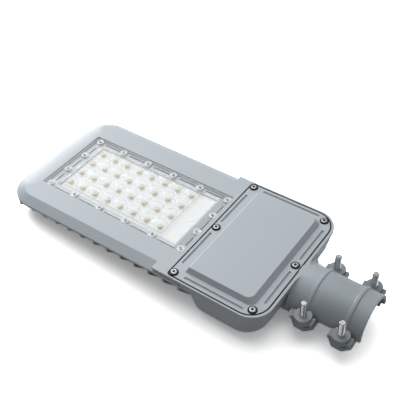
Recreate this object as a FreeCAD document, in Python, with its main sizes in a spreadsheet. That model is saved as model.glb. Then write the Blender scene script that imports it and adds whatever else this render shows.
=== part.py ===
import FreeCAD, Part
import math
import os

import Sketcher
from FreeCAD import Vector

# Street light head with a bolted clamp for a 60 mm pole, lying on its back with the light face up.
# X runs along the head towards the open end of the pole clamp, Y across it, Z out of the light face.
# The origin is the middle of the clamp's mouth, on the axis of the pole. All sizes are millimetres.

os.makedirs("parts", exist_ok=True)
doc = FreeCAD.newDocument("StreetLightHead")
sheet = doc.addObject("Spreadsheet::Sheet", "Dimensions")

SIZES = {
    # Pole clamp
    "pole_radius": 30.0,
    "pipe_wall": 3.7,
    "socket_depth": 91.5,
    "flare_radius": 5.0,
    "flare_bands": 3.0,
    "band_width": 6.0,
    "band_height": 1.5,
    "bolt_first": 19.7,
    "bolt_pitch": 48.0,
    "bolt_reach": 41.2,
    "bolt_radius": 4.0,
    "bolt_length": 41.0,
    "bolt_head_flats": 13.0,
    "bolt_head_height": 5.3,
    "thread_clearance": 0.05,
    "hole_clearance": 0.5,
    "boss_radius": 10.5,
    "boss_height": 10.0,
    "wing_reach": 14.0,
    "wing_width": 11.0,
    "wing_step": 4.5,
    "clamp_gap": 1.5,
    "saddle_width": 16.0,
    "ear_width": 29.0,
    "strap_wall": 3.5,
    "ear_thickness": 5.5,
    "ear_margin": 9.0,
    "ear_corner": 8.0,
    "washer_radius": 8.0,
    "washer_thickness": 1.6,
    # Driver box
    "face_rise": 33.0,
    "box_length": 112.0,
    "box_depth": 56.0,
    "box_corner": 30.0,
    "box_round": 27.0,
    "box_end_lean": 12.0,
    "box_bands": 4.0,
    "box_wall": 4.5,
    "hollow_step": 20.0,
    "lip_height": 3.5,
    "lip_overhang": 2.0,
    "deck_thickness": 2.0,
    "deck_end_inset": 3.0,
    "side_land": 2.3,
    "end_land": 3.6,
    "seal_gap": 1.2,
    "seal_thickness": 1.5,
    "seal_drop": 0.3,
    # Driver cover
    "cover_reach": 17.8,
    "cover_half_width": 92.0,
    "cover_thickness": 3.0,
    "cover_corner": 25.0,
    "cover_front_corner": 3.0,
    "panel_height": 7.3,
    "panel_slope": 3.6,
    "panel_end_slope": 5.2,
    "panel_front_margin": 15.7,
    "panel_end_margin": 14.5,
    "panel_side_margin": 13.0,
    "panel_corner": 9.0,
    "panel_front_corner": 1.0,
    "panel_wall": 2.5,
    "groove_width": 3.0,
    "groove_depth": 1.0,
    "groove_cut": 0.9,
    "groove_side_inset": 5.5,
    "groove_clearance": 11.0,
    "side_groove_start": 20.3,
    "side_groove_length": 82.0,
    "front_groove_length": 59.0,
    "end_groove_length": 56.0,
    "seat_width": 4.0,
    "front_seat_width": 11.6,
    "screw_margin": 5.4,
    "rear_screw_margin": 6.5,
    "corner_screw_inset": 13.2,
    "corner_screw_side": 10.0,
    "cover_screw_radius": 2.5,
    "cover_screw_length": 12.0,
    "cover_head_radius": 4.3,
    "cover_head_height": 2.6,
    "cover_head_crown": 3.2,
    "socket_share": 0.36,
    "ring_radius": 5.2,
    "ring_thickness": 0.8,
    "post_radius": 5.5,
    "post_height": 26.0,
    # Light window and optics
    "bridge": 5.5,
    "window_length": 236.6,
    "window_half_width": 56.8,
    "seat_depth": 7.5,
    "board_depth": 10.0,
    "lens_clearance": 0.7,
    "flange_thickness": 3.0,
    "lens_seal_thickness": 1.5,
    "lens_rise": 4.0,
    "lens_slope": 3.0,
    "field_front_margin": 18.4,
    "field_end_margin": 17.95,
    "field_side_margin": 12.3,
    "dome_radius": 9.4,
    "dome_height": 3.6,
    "dome_shoulder": 7.7,
    "dome_crown": 3.8,
    "dome_sides": 8.0,
    "board_margin": 2.0,
    "board_clearance": 0.5,
    "board_thickness": 1.6,
    "chip_side": 5.0,
    "chip_height": 0.9,
    # Head casting under the window
    "front_margin": 36.0,
    "front_spread": 3.0,
    "front_bow": 4.5,
    "front_corner": 40.0,
    "bevel_width": 12.0,
    "bevel_front": 17.0,
    "bevel_drop": 6.5,
    "bevel_corner": 21.0,
    "bevel_run_out": 20.5,
    "rim_height": 3.5,
    "plate_thickness": 14.0,
    "underside_inset": 9.0,
    "fin_count": 13.0,
    "fin_thickness": 3.0,
    "fin_end_inset": 5.0,
    "fin_end_depth": 25.0,
    "fin_least_slant": 2.0,
    "fin_shoulder": 20.0,
    "fin_depth_box": 54.0,
    "fin_depth_front": 38.0,
    "last_fin_gap": 6.0,
    "spine_half_width": 9.0,
    "spine_depth": 25.0,
    "spine_overlap": 20.0,
    # Inside the driver box
    "power_side_gap": 2.0,
    "power_end_gap": 3.4,
    "power_gap": 2.0,
    "power_height": 26.0,
    "power_corner": 3.0,
    "power_rise": 10.0,
    "tab_length": 6.0,
    "tab_thickness": 2.0,
    "tab_inset": 1.0,
    "stand_width": 12.0,
    "stand_inset": 9.0,
    "terminal_clearance": 0.5,
    "terminal_width": 18.0,
    "terminal_length": 44.0,
    "terminal_height": 15.0,
    "terminal_rise": 2.0,
    "terminal_foot": 8.0,
    "terminal_base": 3.0,
    "terminal_ways": 3.0,
    "terminal_slot": 5.0,
    "lead_radius": 2.2,
    "lead_bend": 3.2,
    "lead_rise": 9.6,
    "lead_hole_depth": 18.0,
    "lead_drop": 10.0,
    "sump_setback": 9.0,
    "sump_half": 5.0,
    "stop_thickness": 15.0,
    "inlet_radius": 9.0,
    "inlet_pocket": 20.0,
    "grommet_wall": 2.0,
    "grommet_flange": 2.0,
    "grommet_lip": 3.0,
    "grommet_bead": 1.0,
    "grommet_recess": 0.2,
}
# Cutting tools pass this far beyond the faces they cut
OVERCUT = 1.0
# A screw's hole goes this much deeper than the screw
TIP_GAP = 0.5
# Light chips, in rows along the head; the board is one blank row longer
LED_ROWS = 8
LEDS_ACROSS = 4

for row, (alias, amount) in enumerate(SIZES.items(), start=1):
    sheet.set(f"A{row}", alias.replace("_", " "))
    sheet.set(f"B{row}", str(amount))
    sheet.setAlias(f"B{row}", alias)
doc.recompute()


def mm(alias):
    """One driving dimension, read from the sheet."""
    return float(sheet.get(alias))


# Stations along the head, from the clamp's mouth at zero towards the light end
end_x = -mm("socket_depth")
rebate_high = end_x - mm("end_land")
cover_high = rebate_high - mm("seal_gap")
box_low = end_x - mm("box_length")
cover_low = box_low - mm("cover_reach")
rebate_low = cover_low - mm("seal_gap")
window_high = rebate_low - mm("bridge")
window_low = window_high - mm("window_length")
front_x = window_low - mm("front_margin")
run_out_x = rebate_low - mm("bevel_run_out")

# Levels, with the light face above the pole axis
face_z = mm("face_rise")
seat_z = face_z - mm("cover_thickness") - mm("seal_thickness")
plate_z = face_z - mm("plate_thickness")
box_z = face_z - mm("box_depth")

# Half widths
rebate_half = mm("cover_half_width") + mm("seal_gap")
lip_half = rebate_half + mm("side_land")
box_half = lip_half - mm("lip_overhang")
mouth_high = rebate_high - mm("seat_width")
mouth_half = rebate_half - mm("seat_width")
mouth_corner = mm("cover_corner") + mm("seal_gap") - mm("seat_width")

pipe_radius = mm("pole_radius") + mm("pipe_wall")
bolt_places = []
for along in range(2):
    for side in (-1, 1):
        bolt_x = -mm("bolt_first") - along * mm("bolt_pitch")
        bolt_places.append((bolt_x, side * mm("bolt_reach")))


def new_body(label):
    body = doc.addObject("PartDesign::Body", label)
    body.Label = label
    return body


def own_plane(body, role):
    return next(item for item in body.Origin.OriginFeatures if item.Role == role)


def new_sketch(body, name, offset, role="XY_Plane"):
    """An empty sketch on one of the body's own planes, moved off it by a bound amount."""
    sketch = body.newObject("Sketcher::SketchObject", name)
    sketch.AttachmentSupport = (own_plane(body, role), [""])
    sketch.MapMode = "FlatFace"
    sketch.setExpression("AttachmentOffset.Base.z", offset)
    return sketch


def bind(sketch, kind, geometry, point, expression):
    """A distance from the sketch's origin to a point, bound to the sheet."""
    amount = sketch.evalExpression(expression)
    index = sketch.addConstraint(Sketcher.Constraint(kind, -1, 1, geometry, point, float(amount)))
    sketch.setExpression(f"Constraints[{index}]", expression)


def draw_rounded(sketch, x_low, x_high, y_low, y_high, radius_low, radius_high):
    """A closed rectangle; its corners at the low X end and at the high X end have a radius each."""
    expressions = (x_low, x_high, y_low, y_high, radius_low, radius_high)
    amounts = [float(sketch.evalExpression(item)) for item in expressions]
    low, high, near, far, round_low, round_high = amounts
    corners = [
        (Vector(low, near, 0), round_low, math.pi),
        (Vector(high, near, 0), round_high, 1.5 * math.pi),
        (Vector(high, far, 0), round_high, 0.0),
        (Vector(low, far, 0), round_low, 0.5 * math.pi),
    ]
    middle = Vector((low + high) / 2, (near + far) / 2, 0)
    arcs = []
    for corner, radius, start in corners:
        centre = Vector(
            corner.x + math.copysign(radius, middle.x - corner.x),
            corner.y + math.copysign(radius, middle.y - corner.y),
            0,
        )
        circle = Part.Circle(centre, Vector(0, 0, 1), radius)
        arcs.append(sketch.addGeometry(Part.ArcOfCircle(circle, start, start + 0.5 * math.pi), False))
    lines = []
    for index, arc in enumerate(arcs):
        following = arcs[(index + 1) % 4]
        begin = sketch.getPoint(arc, 2)
        end = sketch.getPoint(following, 1)
        lines.append(sketch.addGeometry(Part.LineSegment(begin, end), False))
    for index, arc in enumerate(arcs):
        sketch.addConstraint(Sketcher.Constraint("Tangent", arc, 2, lines[index], 1))
        sketch.addConstraint(Sketcher.Constraint("Tangent", lines[index], 2, arcs[(index + 1) % 4], 1))
    sketch.addConstraint(Sketcher.Constraint("Horizontal", lines[0]))
    sketch.addConstraint(Sketcher.Constraint("Vertical", lines[1]))
    sketch.addConstraint(Sketcher.Constraint("Horizontal", lines[2]))
    sketch.addConstraint(Sketcher.Constraint("Vertical", lines[3]))
    sketch.addConstraint(Sketcher.Constraint("Equal", arcs[0], arcs[3]))
    sketch.addConstraint(Sketcher.Constraint("Equal", arcs[1], arcs[2]))
    for arc, expression in ((arcs[0], radius_low), (arcs[1], radius_high)):
        amount = float(sketch.evalExpression(expression))
        index = sketch.addConstraint(Sketcher.Constraint("Radius", arc, amount))
        sketch.setExpression(f"Constraints[{index}]", expression)
    bind(sketch, "DistanceY", lines[0], 1, y_low)
    bind(sketch, "DistanceX", lines[1], 1, x_high)
    bind(sketch, "DistanceY", lines[2], 1, y_high)
    bind(sketch, "DistanceX", lines[3], 1, x_low)


def draw_lines(sketch, corners):
    """A closed outline of straight lines, each corner bound to the sheet by two expressions."""
    places = [(float(sketch.evalExpression(x)), float(sketch.evalExpression(y))) for x, y in corners]
    points = [Vector(x, y, 0) for x, y in places]
    lines = []
    for begin, end in zip(points, points[1:] + points[:1]):
        lines.append(sketch.addGeometry(Part.LineSegment(begin, end), False))
    for line, following in zip(lines, lines[1:] + lines[:1]):
        sketch.addConstraint(Sketcher.Constraint("Coincident", line, 2, following, 1))
    for line, (x, y) in zip(lines, corners):
        bind(sketch, "DistanceX", line, 1, x)
        bind(sketch, "DistanceY", line, 1, y)


def draw_cut_corners(sketch, x_low, x_high, y_low, y_high, cut):
    """A closed rectangle with its four corners cut off straight."""
    draw_lines(sketch, [
        (f"{x_low} + {cut}", y_low), (f"{x_high} - {cut}", y_low), (x_high, f"{y_low} + {cut}"),
        (x_high, f"{y_high} - {cut}"), (f"{x_high} - {cut}", y_high), (f"{x_low} + {cut}", y_high),
        (x_low, f"{y_high} - {cut}"), (x_low, f"{y_low} + {cut}"),
    ])


def draw_even(sketch, x, y, radius, sides):
    """An even polygon round a place."""
    corners = []
    for step in range(sides):
        angle = 2 * math.pi * step / sides
        across = f"{x} + {radius} * {math.cos(angle):.6f}"
        corners.append((across, f"{y} + {radius} * {math.sin(angle):.6f}"))
    draw_lines(sketch, corners)


def draw_circle(sketch, x, y, radius):
    centre = Vector(float(sketch.evalExpression(x)), float(sketch.evalExpression(y)), 0)
    amount = float(sketch.evalExpression(radius))
    circle = sketch.addGeometry(Part.Circle(centre, Vector(0, 0, 1), amount), False)
    index = sketch.addConstraint(Sketcher.Constraint("Radius", circle, amount))
    sketch.setExpression(f"Constraints[{index}]", radius)
    bind(sketch, "DistanceX", circle, 3, x)
    bind(sketch, "DistanceY", circle, 3, y)


def add_pad(body, sketch, length):
    pad = body.newObject("PartDesign::Pad", sketch.Name + "Pad")
    pad.Profile = sketch
    pad.setExpression("Length", length)
    sketch.Visibility = False
    doc.recompute()
    return pad


def add_pocket(body, sketch, length):
    """A pocket that cuts downwards from the sketch; it must take material away."""
    before = body.Shape.Volume
    pocket = body.newObject("PartDesign::Pocket", sketch.Name + "Pocket")
    pocket.Profile = sketch
    pocket.setExpression("Length", length)
    sketch.Visibility = False
    doc.recompute()
    if body.Shape.Volume >= before:
        raise RuntimeError(sketch.Name + " cuts nothing")
    return pocket


def add_loft(body, kind, sections):
    loft = body.newObject(kind, sections[0].Name + "Loft")
    loft.Profile = sections[0]
    loft.Sections = sections[1:]
    loft.Ruled = True
    doc.recompute()
    return loft


def new_feature(label, shape):
    feature = doc.addObject("Part::Feature", label)
    feature.Label = label
    feature.Shape = shape
    return feature


def rounded_polygon(points, radii, level):
    """A closed flat wire through corner points, each corner rounded by its own radius."""
    count = len(points)
    arcs = []
    for index, (x, y) in enumerate(points):
        corner = Vector(x, y, level)
        if radii[index] == 0:
            arcs.append((corner, corner, corner))
            continue
        before = Vector(*points[index - 1], level)
        after = Vector(*points[(index + 1) % count], level)
        back = (before - corner).normalize()
        ahead = (after - corner).normalize()
        half_angle = back.getAngle(ahead) / 2
        reach = radii[index] / math.tan(half_angle)
        bisector = (back + ahead).normalize()
        middle = corner + bisector * (radii[index] / math.sin(half_angle) - radii[index])
        arcs.append((corner + back * reach, middle, corner + ahead * reach))
    edges = []
    for index, (begin, middle, end) in enumerate(arcs):
        if radii[index] > 0:
            edges.append(Part.Arc(begin, middle, end).toShape())
        edges.append(Part.LineSegment(end, arcs[(index + 1) % count][0]).toShape())
    return Part.Wire(edges)


def block(x_low, x_high, y_low, y_high, z_low, z_high):
    return Part.makeBox(x_high - x_low, y_high - y_low, z_high - z_low, Vector(x_low, y_low, z_low))


def column(x, y, z_low, z_high, radius):
    return Part.makeCylinder(radius, z_high - z_low, Vector(x, y, z_low))


def polygon_points(centre, across, up, radius, sides):
    """The corners of an even polygon, the first one repeated at the end."""
    points = []
    for step in range(sides + 1):
        angle = 2 * math.pi * (step % sides) / sides
        points.append(centre + across * (radius * math.cos(angle)) + up * (radius * math.sin(angle)))
    return points


def flat_polygon(x, y, level, radius, sides):
    return polygon_points(Vector(x, y, level), Vector(1, 0, 0), Vector(0, 1, 0), radius, sides)


def prism(x, y, z_low, z_high, radius, sides):
    """A many-sided upright column, for what repeats often or is too small to need a true circle."""
    outline = Part.makePolygon(flat_polygon(x, y, z_low, radius, sides))
    return Part.Face(outline).extrude(Vector(0, 0, z_high - z_low))


def banded(outlines):
    """A solid of flat faces through polygons that lie over one another."""
    faces = [Part.Face(Part.makePolygon(outlines[0])), Part.Face(Part.makePolygon(outlines[-1]))]
    for lower, upper in zip(outlines[:-1], outlines[1:]):
        for step in range(len(lower) - 1):
            corners = [lower[step], lower[step + 1], upper[step + 1], upper[step], lower[step]]
            faces.append(Part.Face(Part.makePolygon(corners)))
    solid = Part.makeSolid(Part.makeShell(faces))
    if solid.Volume < 0:
        solid.reverse()
    return solid


def plate(x_low, x_high, half, z_low, z_high, round_low, round_high):
    """A flat slab, the same on both sides of the middle plane, with a radius for each end's corners."""
    points = [(x_low, -half), (x_high, -half), (x_high, half), (x_low, half)]
    radii = [round_low, round_high, round_high, round_low]
    wire = rounded_polygon(points, radii, z_low)
    return Part.Face(wire).extrude(Vector(0, 0, z_high - z_low))


# Places of the fasteners, shared by the screws, their holes and their bosses
side_y = mm("cover_half_width") - mm("corner_screw_side")
bridge_y = mm("cover_half_width") - mm("screw_margin")
corner_x = cover_high - mm("corner_screw_inset")
post_screws = [(corner_x, -side_y), (corner_x, side_y)]
post_screws.append((cover_high - mm("rear_screw_margin"), 0.0))
bridge_screws = [(cover_low + mm("screw_margin"), y) for y in (-bridge_y, 0.0, bridge_y)]
cover_screws = post_screws + bridge_screws

field_low = window_low + mm("field_front_margin")
board_end = window_high - mm("field_end_margin")
led_step = (board_end - field_low) / (LED_ROWS + 1)
field_high = board_end - led_step
field_half = mm("window_half_width") - mm("field_side_margin")
led_gap = 2 * field_half / LEDS_ACROSS
led_places = []
for along in range(LED_ROWS):
    for across in range(LEDS_ACROSS):
        led_places.append((field_low + (along + 0.5) * led_step, -field_half + (across + 0.5) * led_gap))
board_low = field_low - mm("board_margin") / 2
board_high = board_end
board_half = field_half + mm("board_margin")


# Levels inside the window: board tray, then seat, seal and flange of the clear optic
tray_z = face_z - mm("board_depth")
board_z = tray_z + mm("board_thickness")
lens_seat_z = face_z - mm("seat_depth")
flange_z = lens_seat_z + mm("lens_seal_thickness")
flange_top = flange_z + mm("flange_thickness")


def hollow_inset(level):
    """How far the driver box's hollow lies inside its outside, for a step that begins at this level."""
    radius = mm("box_round")
    height = min(level - box_z, radius)
    return mm("box_wall") + radius - math.sqrt(radius**2 - (radius - height) ** 2)


# Inside the driver box: power supply, terminal block and the light lead's way
floor_inset = hollow_inset(box_z + mm("box_wall"))
power_z = box_z + mm("power_rise")
power_low = box_low + floor_inset + mm("power_side_gap")
terminal_z = box_z + mm("hollow_step") + mm("terminal_rise")
terminal_high = end_x - mm("stop_thickness") - mm("grommet_flange") - mm("terminal_clearance")
terminal_x = terminal_high - mm("terminal_width") / 2
power_high = terminal_high - mm("terminal_width") - mm("power_gap")
power_half = box_half - floor_inset - mm("power_end_gap") - mm("tab_length")
terminal_half = mm("terminal_length") / 2 + mm("terminal_foot")
lead_z = face_z - mm("lead_hole_depth")
lead_hole_radius = mm("lead_radius") + mm("hole_clearance")
sump_x = board_high - mm("sump_setback")


# Housing: one aluminium casting of light head, driver box and upper half of the pole clamp


def box_form(inset, bands):
    """The driver box below its lip: a leaning end wall, round corners and a round edge to the flat back.

    The round edge is a loft through a few outlines, one for each band.
    """
    top = face_z - mm("lip_height")
    bottom = box_z + inset
    lean = math.tan(math.radians(mm("box_end_lean")))
    radius = mm("box_round") - inset
    levels = [(top, 0.0)]
    for step in range(bands, -1, -1):
        angle = 0.5 * math.pi * step / bands
        levels.append((bottom + radius * (1 - math.cos(angle)), radius * (1 - math.sin(angle))))
    wires = []
    for level, pulled in levels:
        low = box_low + inset + pulled
        high = end_x - inset - pulled - (top - level) * lean
        half = box_half - inset - pulled
        corner = mm("box_corner") - inset - pulled
        points = [(low, -half), (high, -half), (high, half), (low, half)]
        wires.append(rounded_polygon(points, [corner] * 4, level))
    return Part.makeLoft(wires, True, True)


def head_outline(half_box, half_front, x_front, bow, corner, level):
    """The light head's plan: tapered sides, two round corners and a slightly bowed front.

    The bow is a parabola, so half way out it has come back by a quarter.
    """
    near = x_front + bow / 4
    points = [(box_low, half_box), (x_front + bow, half_front), (near, half_front / 2), (x_front, 0.0)]
    points += [(near, -half_front / 2), (x_front + bow, -half_front), (box_low, -half_box)]
    return rounded_polygon(points, [0, corner, 0, 0, 0, corner, 0], level)


def head_form():
    """A loft through four parallel-sided plans: underside, rim, rim top and inner edge of the bevel."""
    rim_half = lip_half + mm("front_spread")
    rim_front = front_x + mm("front_bow")
    spread = mm("front_spread") / (box_low - rim_front)
    bow = mm("front_bow") / rim_half

    def plan(inset, front_inset, corner, level):
        half = lip_half - inset
        front = front_x + front_inset
        half_front = half + spread * (box_low - front - mm("front_bow"))
        return head_outline(half, half_front, front, bow * half_front, corner, level)

    under = mm("underside_inset")
    rim_top = face_z - mm("bevel_drop")
    wires = [
        plan(under, under, mm("front_corner") - under, plate_z),
        plan(0.0, 0.0, mm("front_corner"), rim_top - mm("rim_height")),
        plan(0.0, 0.0, mm("front_corner"), rim_top),
        plan(mm("bevel_width"), mm("bevel_front"), mm("bevel_corner"), face_z),
    ]
    return Part.makeLoft(wires, True, True)


def fin(x):
    """One cross fin: steep ends near the rim, then a shoulder down to the back line."""
    share = (x - front_x) / (box_low - front_x)
    depth = mm("fin_depth_front") + share * (mm("fin_depth_box") - mm("fin_depth_front"))
    half = lip_half - mm("fin_end_inset")
    end_z = face_z - min(mm("fin_end_depth"), depth - mm("fin_least_slant"))
    back_z = face_z - depth
    shoulder = half - mm("fin_shoulder")
    top = plate_z + OVERCUT
    outline = [(-half, top), (-half, end_z), (-shoulder, back_z)]
    outline += [(shoulder, back_z), (half, end_z), (half, top)]
    points = [Vector(x - mm("fin_thickness") / 2, y, z) for y, z in outline]
    face = Part.Face(Part.makePolygon(points + points[:1]))
    return face.extrude(Vector(mm("fin_thickness"), 0, 0))


def fin_stations():
    count = int(mm("fin_count"))
    first = front_x + mm("front_corner") / 2
    last = box_low - mm("last_fin_gap")
    return [first + (last - first) * step / (count - 1) for step in range(count)]


def half_pipe():
    """The upper half of the clamp, closed by a half disc at the box and ringed by two bands."""
    inner = mm("pole_radius")
    begin = end_x - mm("box_wall")
    profile = [(end_x, inner), (end_x, 0.0), (begin, 0.0), (begin, pipe_radius)]
    for station in (mm("bolt_first") + mm("bolt_pitch"), mm("bolt_first")):
        half = mm("band_width") / 2
        crown = pipe_radius + mm("band_height")
        profile.append((-station - half, pipe_radius))
        profile.append((-station - half + mm("band_height"), crown))
        profile.append((-station + half - mm("band_height"), crown))
        profile.append((-station + half, pipe_radius))
    profile.append((0.0, pipe_radius))
    profile.append((0.0, inner))
    points = [Vector(x, -radius, 0) for x, radius in profile]
    face = Part.Face(Part.makePolygon(points + points[:1]))
    return face.revolve(Vector(0, 0, 0), Vector(1, 0, 0), -180)


def flare():
    """The concave collar where the half pipe grows out of the driver box."""
    radius = mm("flare_radius")
    top = pipe_radius + radius
    back = end_x - OVERCUT
    inner = mm("pole_radius")
    profile = []
    bands = int(mm("flare_bands"))
    for step in range(bands + 1):
        angle = 0.5 * math.pi * step / bands
        profile.append((end_x + radius * (1 - math.cos(angle)), top - radius * math.sin(angle)))
    profile += [(end_x + radius, inner), (back, inner), (back, top)]
    points = [Vector(x, -out, 0) for x, out in profile]
    collar = Part.Face(Part.makePolygon(points + points[:1])).revolve(Vector(0, 0, 0), Vector(1, 0, 0), -180)
    return collar.common(block(back, 0, -2 * top, 2 * top, 0, face_z))


def clamp_bosses():
    shapes = []
    for x, y in bolt_places:
        shapes.append(column(x, y, 0, mm("boss_height"), mm("boss_radius")))
        reach = mm("wing_reach")
        half = mm("wing_width") / 2
        wing_top = mm("boss_height") - mm("wing_step")
        shapes.append(block(x - reach, x + reach, y - half, y + half, 0, wing_top))
        inward = math.copysign((mm("pole_radius") + pipe_radius) / 2, y)
        low, high = sorted((inward, y))
        shapes.append(block(x - half, x + half, low, high, 0, wing_top))
    return shapes


def outer_forms():
    """Everything that is metal on the outside, before the openings are cut."""
    lip_corner = mm("cover_corner") + mm("seal_gap") + mm("side_land")
    under_lip_z = face_z - mm("lip_height")
    deck_x = end_x - mm("deck_end_inset")
    deck_half = box_half - mm("deck_thickness") / 2
    spine_x = front_x + mm("front_corner")
    spine_half = mm("spine_half_width")
    spine_z = face_z - mm("spine_depth")
    forms = [
        plate(run_out_x, end_x, lip_half, under_lip_z, face_z, 0, lip_corner),
        plate(run_out_x, box_low + mm("box_corner"), box_half, plate_z, under_lip_z, 0, 0),
        plate(box_low, deck_x, deck_half, seat_z - mm("deck_thickness"), under_lip_z, 0, lip_corner),
        block(spine_x, box_low + mm("spine_overlap"), -spine_half, spine_half, spine_z, plate_z + OVERCUT),
        box_form(0.0, int(mm("box_bands"))),
        inlet_stop(),
        half_pipe(),
        flare(),
    ]
    return forms + clamp_bosses() + [fin(x) for x in fin_stations()]


def inlet_stop():
    """The wall between the pole socket and the driver box, wide enough for the inlet's bush."""
    stop_x = end_x - mm("stop_thickness")
    stop_depth = mm("inlet_radius") + mm("grommet_lip") + OVERCUT
    stop = Part.makeCylinder(pipe_radius, mm("stop_thickness"), Vector(stop_x, 0, 0), Vector(1, 0, 0))
    return stop.common(block(stop_x, end_x, -pipe_radius, pipe_radius, -stop_depth, seat_z - OVERCUT))


def driver_space():
    """The hollow of the driver box in two steps, less the posts and stands cast in it."""
    wall = mm("box_wall")
    step_z = box_z + mm("hollow_step")
    upper = hollow(step_z, seat_z - mm("deck_thickness"))
    lower = hollow(box_z + wall, step_z)
    mouth = plate(box_low + wall, mouth_high, mouth_half, seat_z - mm("deck_thickness"), face_z + OVERCUT,
                  mouth_corner, mouth_corner)
    kept = [inlet_stop()]
    for x, y in post_screws:
        kept.append(prism(x, y, seat_z - mm("post_height"), seat_z, mm("post_radius"), 12))
    half = mm("stand_width") / 2
    reach = power_half + mm("tab_length")
    for x in (power_low + mm("stand_inset"), power_high - mm("stand_inset")):
        kept.append(block(x - half, x + half, -reach, reach, box_z, power_z))
    half = mm("terminal_width") / 2
    foot = mm("terminal_length") / 2
    for low, high in ((-terminal_half, -foot), (foot, terminal_half)):
        kept.append(block(terminal_x - half, terminal_x + half, low, high, box_z, terminal_z))
    pocket_x = end_x - mm("stop_thickness") - mm("inlet_pocket")
    pocket_radius = mm("inlet_radius") + mm("grommet_lip") + mm("hole_clearance")
    pocket = Part.makeCylinder(pocket_radius, mm("inlet_pocket"), Vector(pocket_x, 0, 0), Vector(1, 0, 0))
    return upper.multiFuse([lower, mouth]).cut(kept).fuse(pocket)


def hollow(z_low, z_high):
    """One straight-walled step of the hollow, a wall's thickness inside the box at the step's lower end."""
    inset = hollow_inset(z_low)
    corner = mm("box_corner") - inset
    lean = (face_z - mm("lip_height") - z_low) * math.tan(math.radians(mm("box_end_lean")))
    return plate(box_low + inset, end_x - inset - lean, box_half - inset, z_low, z_high, corner, corner)


def screw_holes():
    """One tapped hole for every bolt and cover screw that goes into the casting."""
    holes = []
    thread = mm("thread_clearance")
    for x, y in bolt_places:
        holes.append(prism(x, y, -OVERCUT, mm("boss_height") + OVERCUT, mm("bolt_radius") + thread, 12))
    tip_z = face_z + mm("ring_thickness") - mm("cover_screw_length")
    for x, y in cover_screws:
        holes.append(prism(x, y, tip_z - TIP_GAP, seat_z + OVERCUT, mm("cover_screw_radius") + thread, 8))
    return holes


def build_housing():
    solid = head_form().multiFuse(outer_forms())
    gap = mm("seal_gap")
    rebate = plate(rebate_low, rebate_high, rebate_half, seat_z, face_z + OVERCUT,
                   mm("cover_front_corner") + gap, mm("cover_corner") + gap)
    window = plate(window_low, window_high, mm("window_half_width"), lens_seat_z, face_z + OVERCUT, 0, 0)
    loose = mm("board_clearance")
    tray = plate(board_low - loose, board_high + loose, board_half + loose, tray_z, face_z, 0, 0)
    hole_length = box_low + mm("box_wall") + OVERCUT - sump_x
    lead_hole = Part.makeCylinder(lead_hole_radius, hole_length, Vector(sump_x, 0, lead_z), Vector(1, 0, 0))
    half = mm("sump_half")
    sump = block(sump_x - half, sump_x + half, -half, half, lead_z - lead_hole_radius, tray_z + OVERCUT)
    inlet_x = end_x - mm("stop_thickness") - OVERCUT
    inlet_length = end_x - inlet_x + OVERCUT
    inlet = Part.makeCylinder(mm("inlet_radius"), inlet_length, Vector(inlet_x, 0, 0), Vector(1, 0, 0))
    bead_x = end_x - mm("grommet_recess") - mm("grommet_bead")
    bead_radius = mm("inlet_radius") + mm("grommet_bead")
    bead_seat = Part.makeCylinder(bead_radius, end_x - bead_x, Vector(bead_x, 0, 0), Vector(1, 0, 0))
    bore = Part.makeCylinder(mm("pole_radius"), -end_x + OVERCUT, Vector(end_x, 0, 0), Vector(1, 0, 0))
    openings = [rebate, window, tray, lead_hole, sump, inlet, bead_seat, bore]
    return solid.cut([driver_space()] + openings + screw_holes())


new_feature("housing", build_housing())


# Light window: board, chips, seal, clear optic and its screws
lens_low = window_low + mm("lens_clearance")
lens_high = window_high - mm("lens_clearance")
lens_half = mm("window_half_width") - mm("lens_clearance")


def build_led_board():
    board = plate(board_low, board_high, board_half, tray_z, board_z, 0, 0)
    return board.cut(prism(sump_x, 0, tray_z, board_z, mm("lead_radius") + mm("hole_clearance"), 8))


def build_led_chips():
    half = mm("chip_side") / 2
    top = board_z + mm("chip_height")
    chips = [block(x - half, x + half, y - half, y + half, board_z, top) for x, y in led_places]
    return Part.makeCompound(chips)


def build_lens_gasket():
    sheet_form = plate(lens_low, lens_high, lens_half, lens_seat_z, flange_z, 0, 0)
    loose = mm("board_clearance")
    opening = plate(board_low - loose, board_high + loose, board_half + loose, lens_seat_z, flange_z, 0, 0)
    return sheet_form.cut(opening)


def dome(x, y, level):
    """A clear cap over one light chip, in bands of flat faces."""
    sides = int(mm("dome_sides"))
    height = mm("dome_height")
    outlines = [
        flat_polygon(x, y, level, mm("dome_radius"), sides),
        flat_polygon(x, y, level + height / 2, mm("dome_shoulder"), sides),
        flat_polygon(x, y, level + height, mm("dome_crown"), sides),
    ]
    return banded(outlines)


def build_lens():
    top = flange_top
    flange = plate(lens_low, lens_high, lens_half, flange_z, top, 0, 0)
    field_z = top + mm("lens_rise")
    slope = mm("lens_slope")
    foot = [(field_low - slope, -field_half - slope), (field_high + slope, -field_half - slope),
            (field_high + slope, field_half + slope), (field_low - slope, field_half + slope)]
    crown = [(field_low, -field_half), (field_high, -field_half),
             (field_high, field_half), (field_low, field_half)]
    outlines = []
    for corners, level in ((foot, top), (crown, field_z)):
        points = [Vector(x, y, level) for x, y in corners]
        outlines.append(points + points[:1])
    field = banded(outlines)
    domes = [dome(x, y, field_z) for x, y in led_places]
    return flange.multiFuse([field] + domes)


new_feature("led_board", build_led_board())
new_feature("led_chips", build_led_chips())
new_feature("lens_gasket", build_lens_gasket())
new_feature("lens_plate", build_lens())


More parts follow.
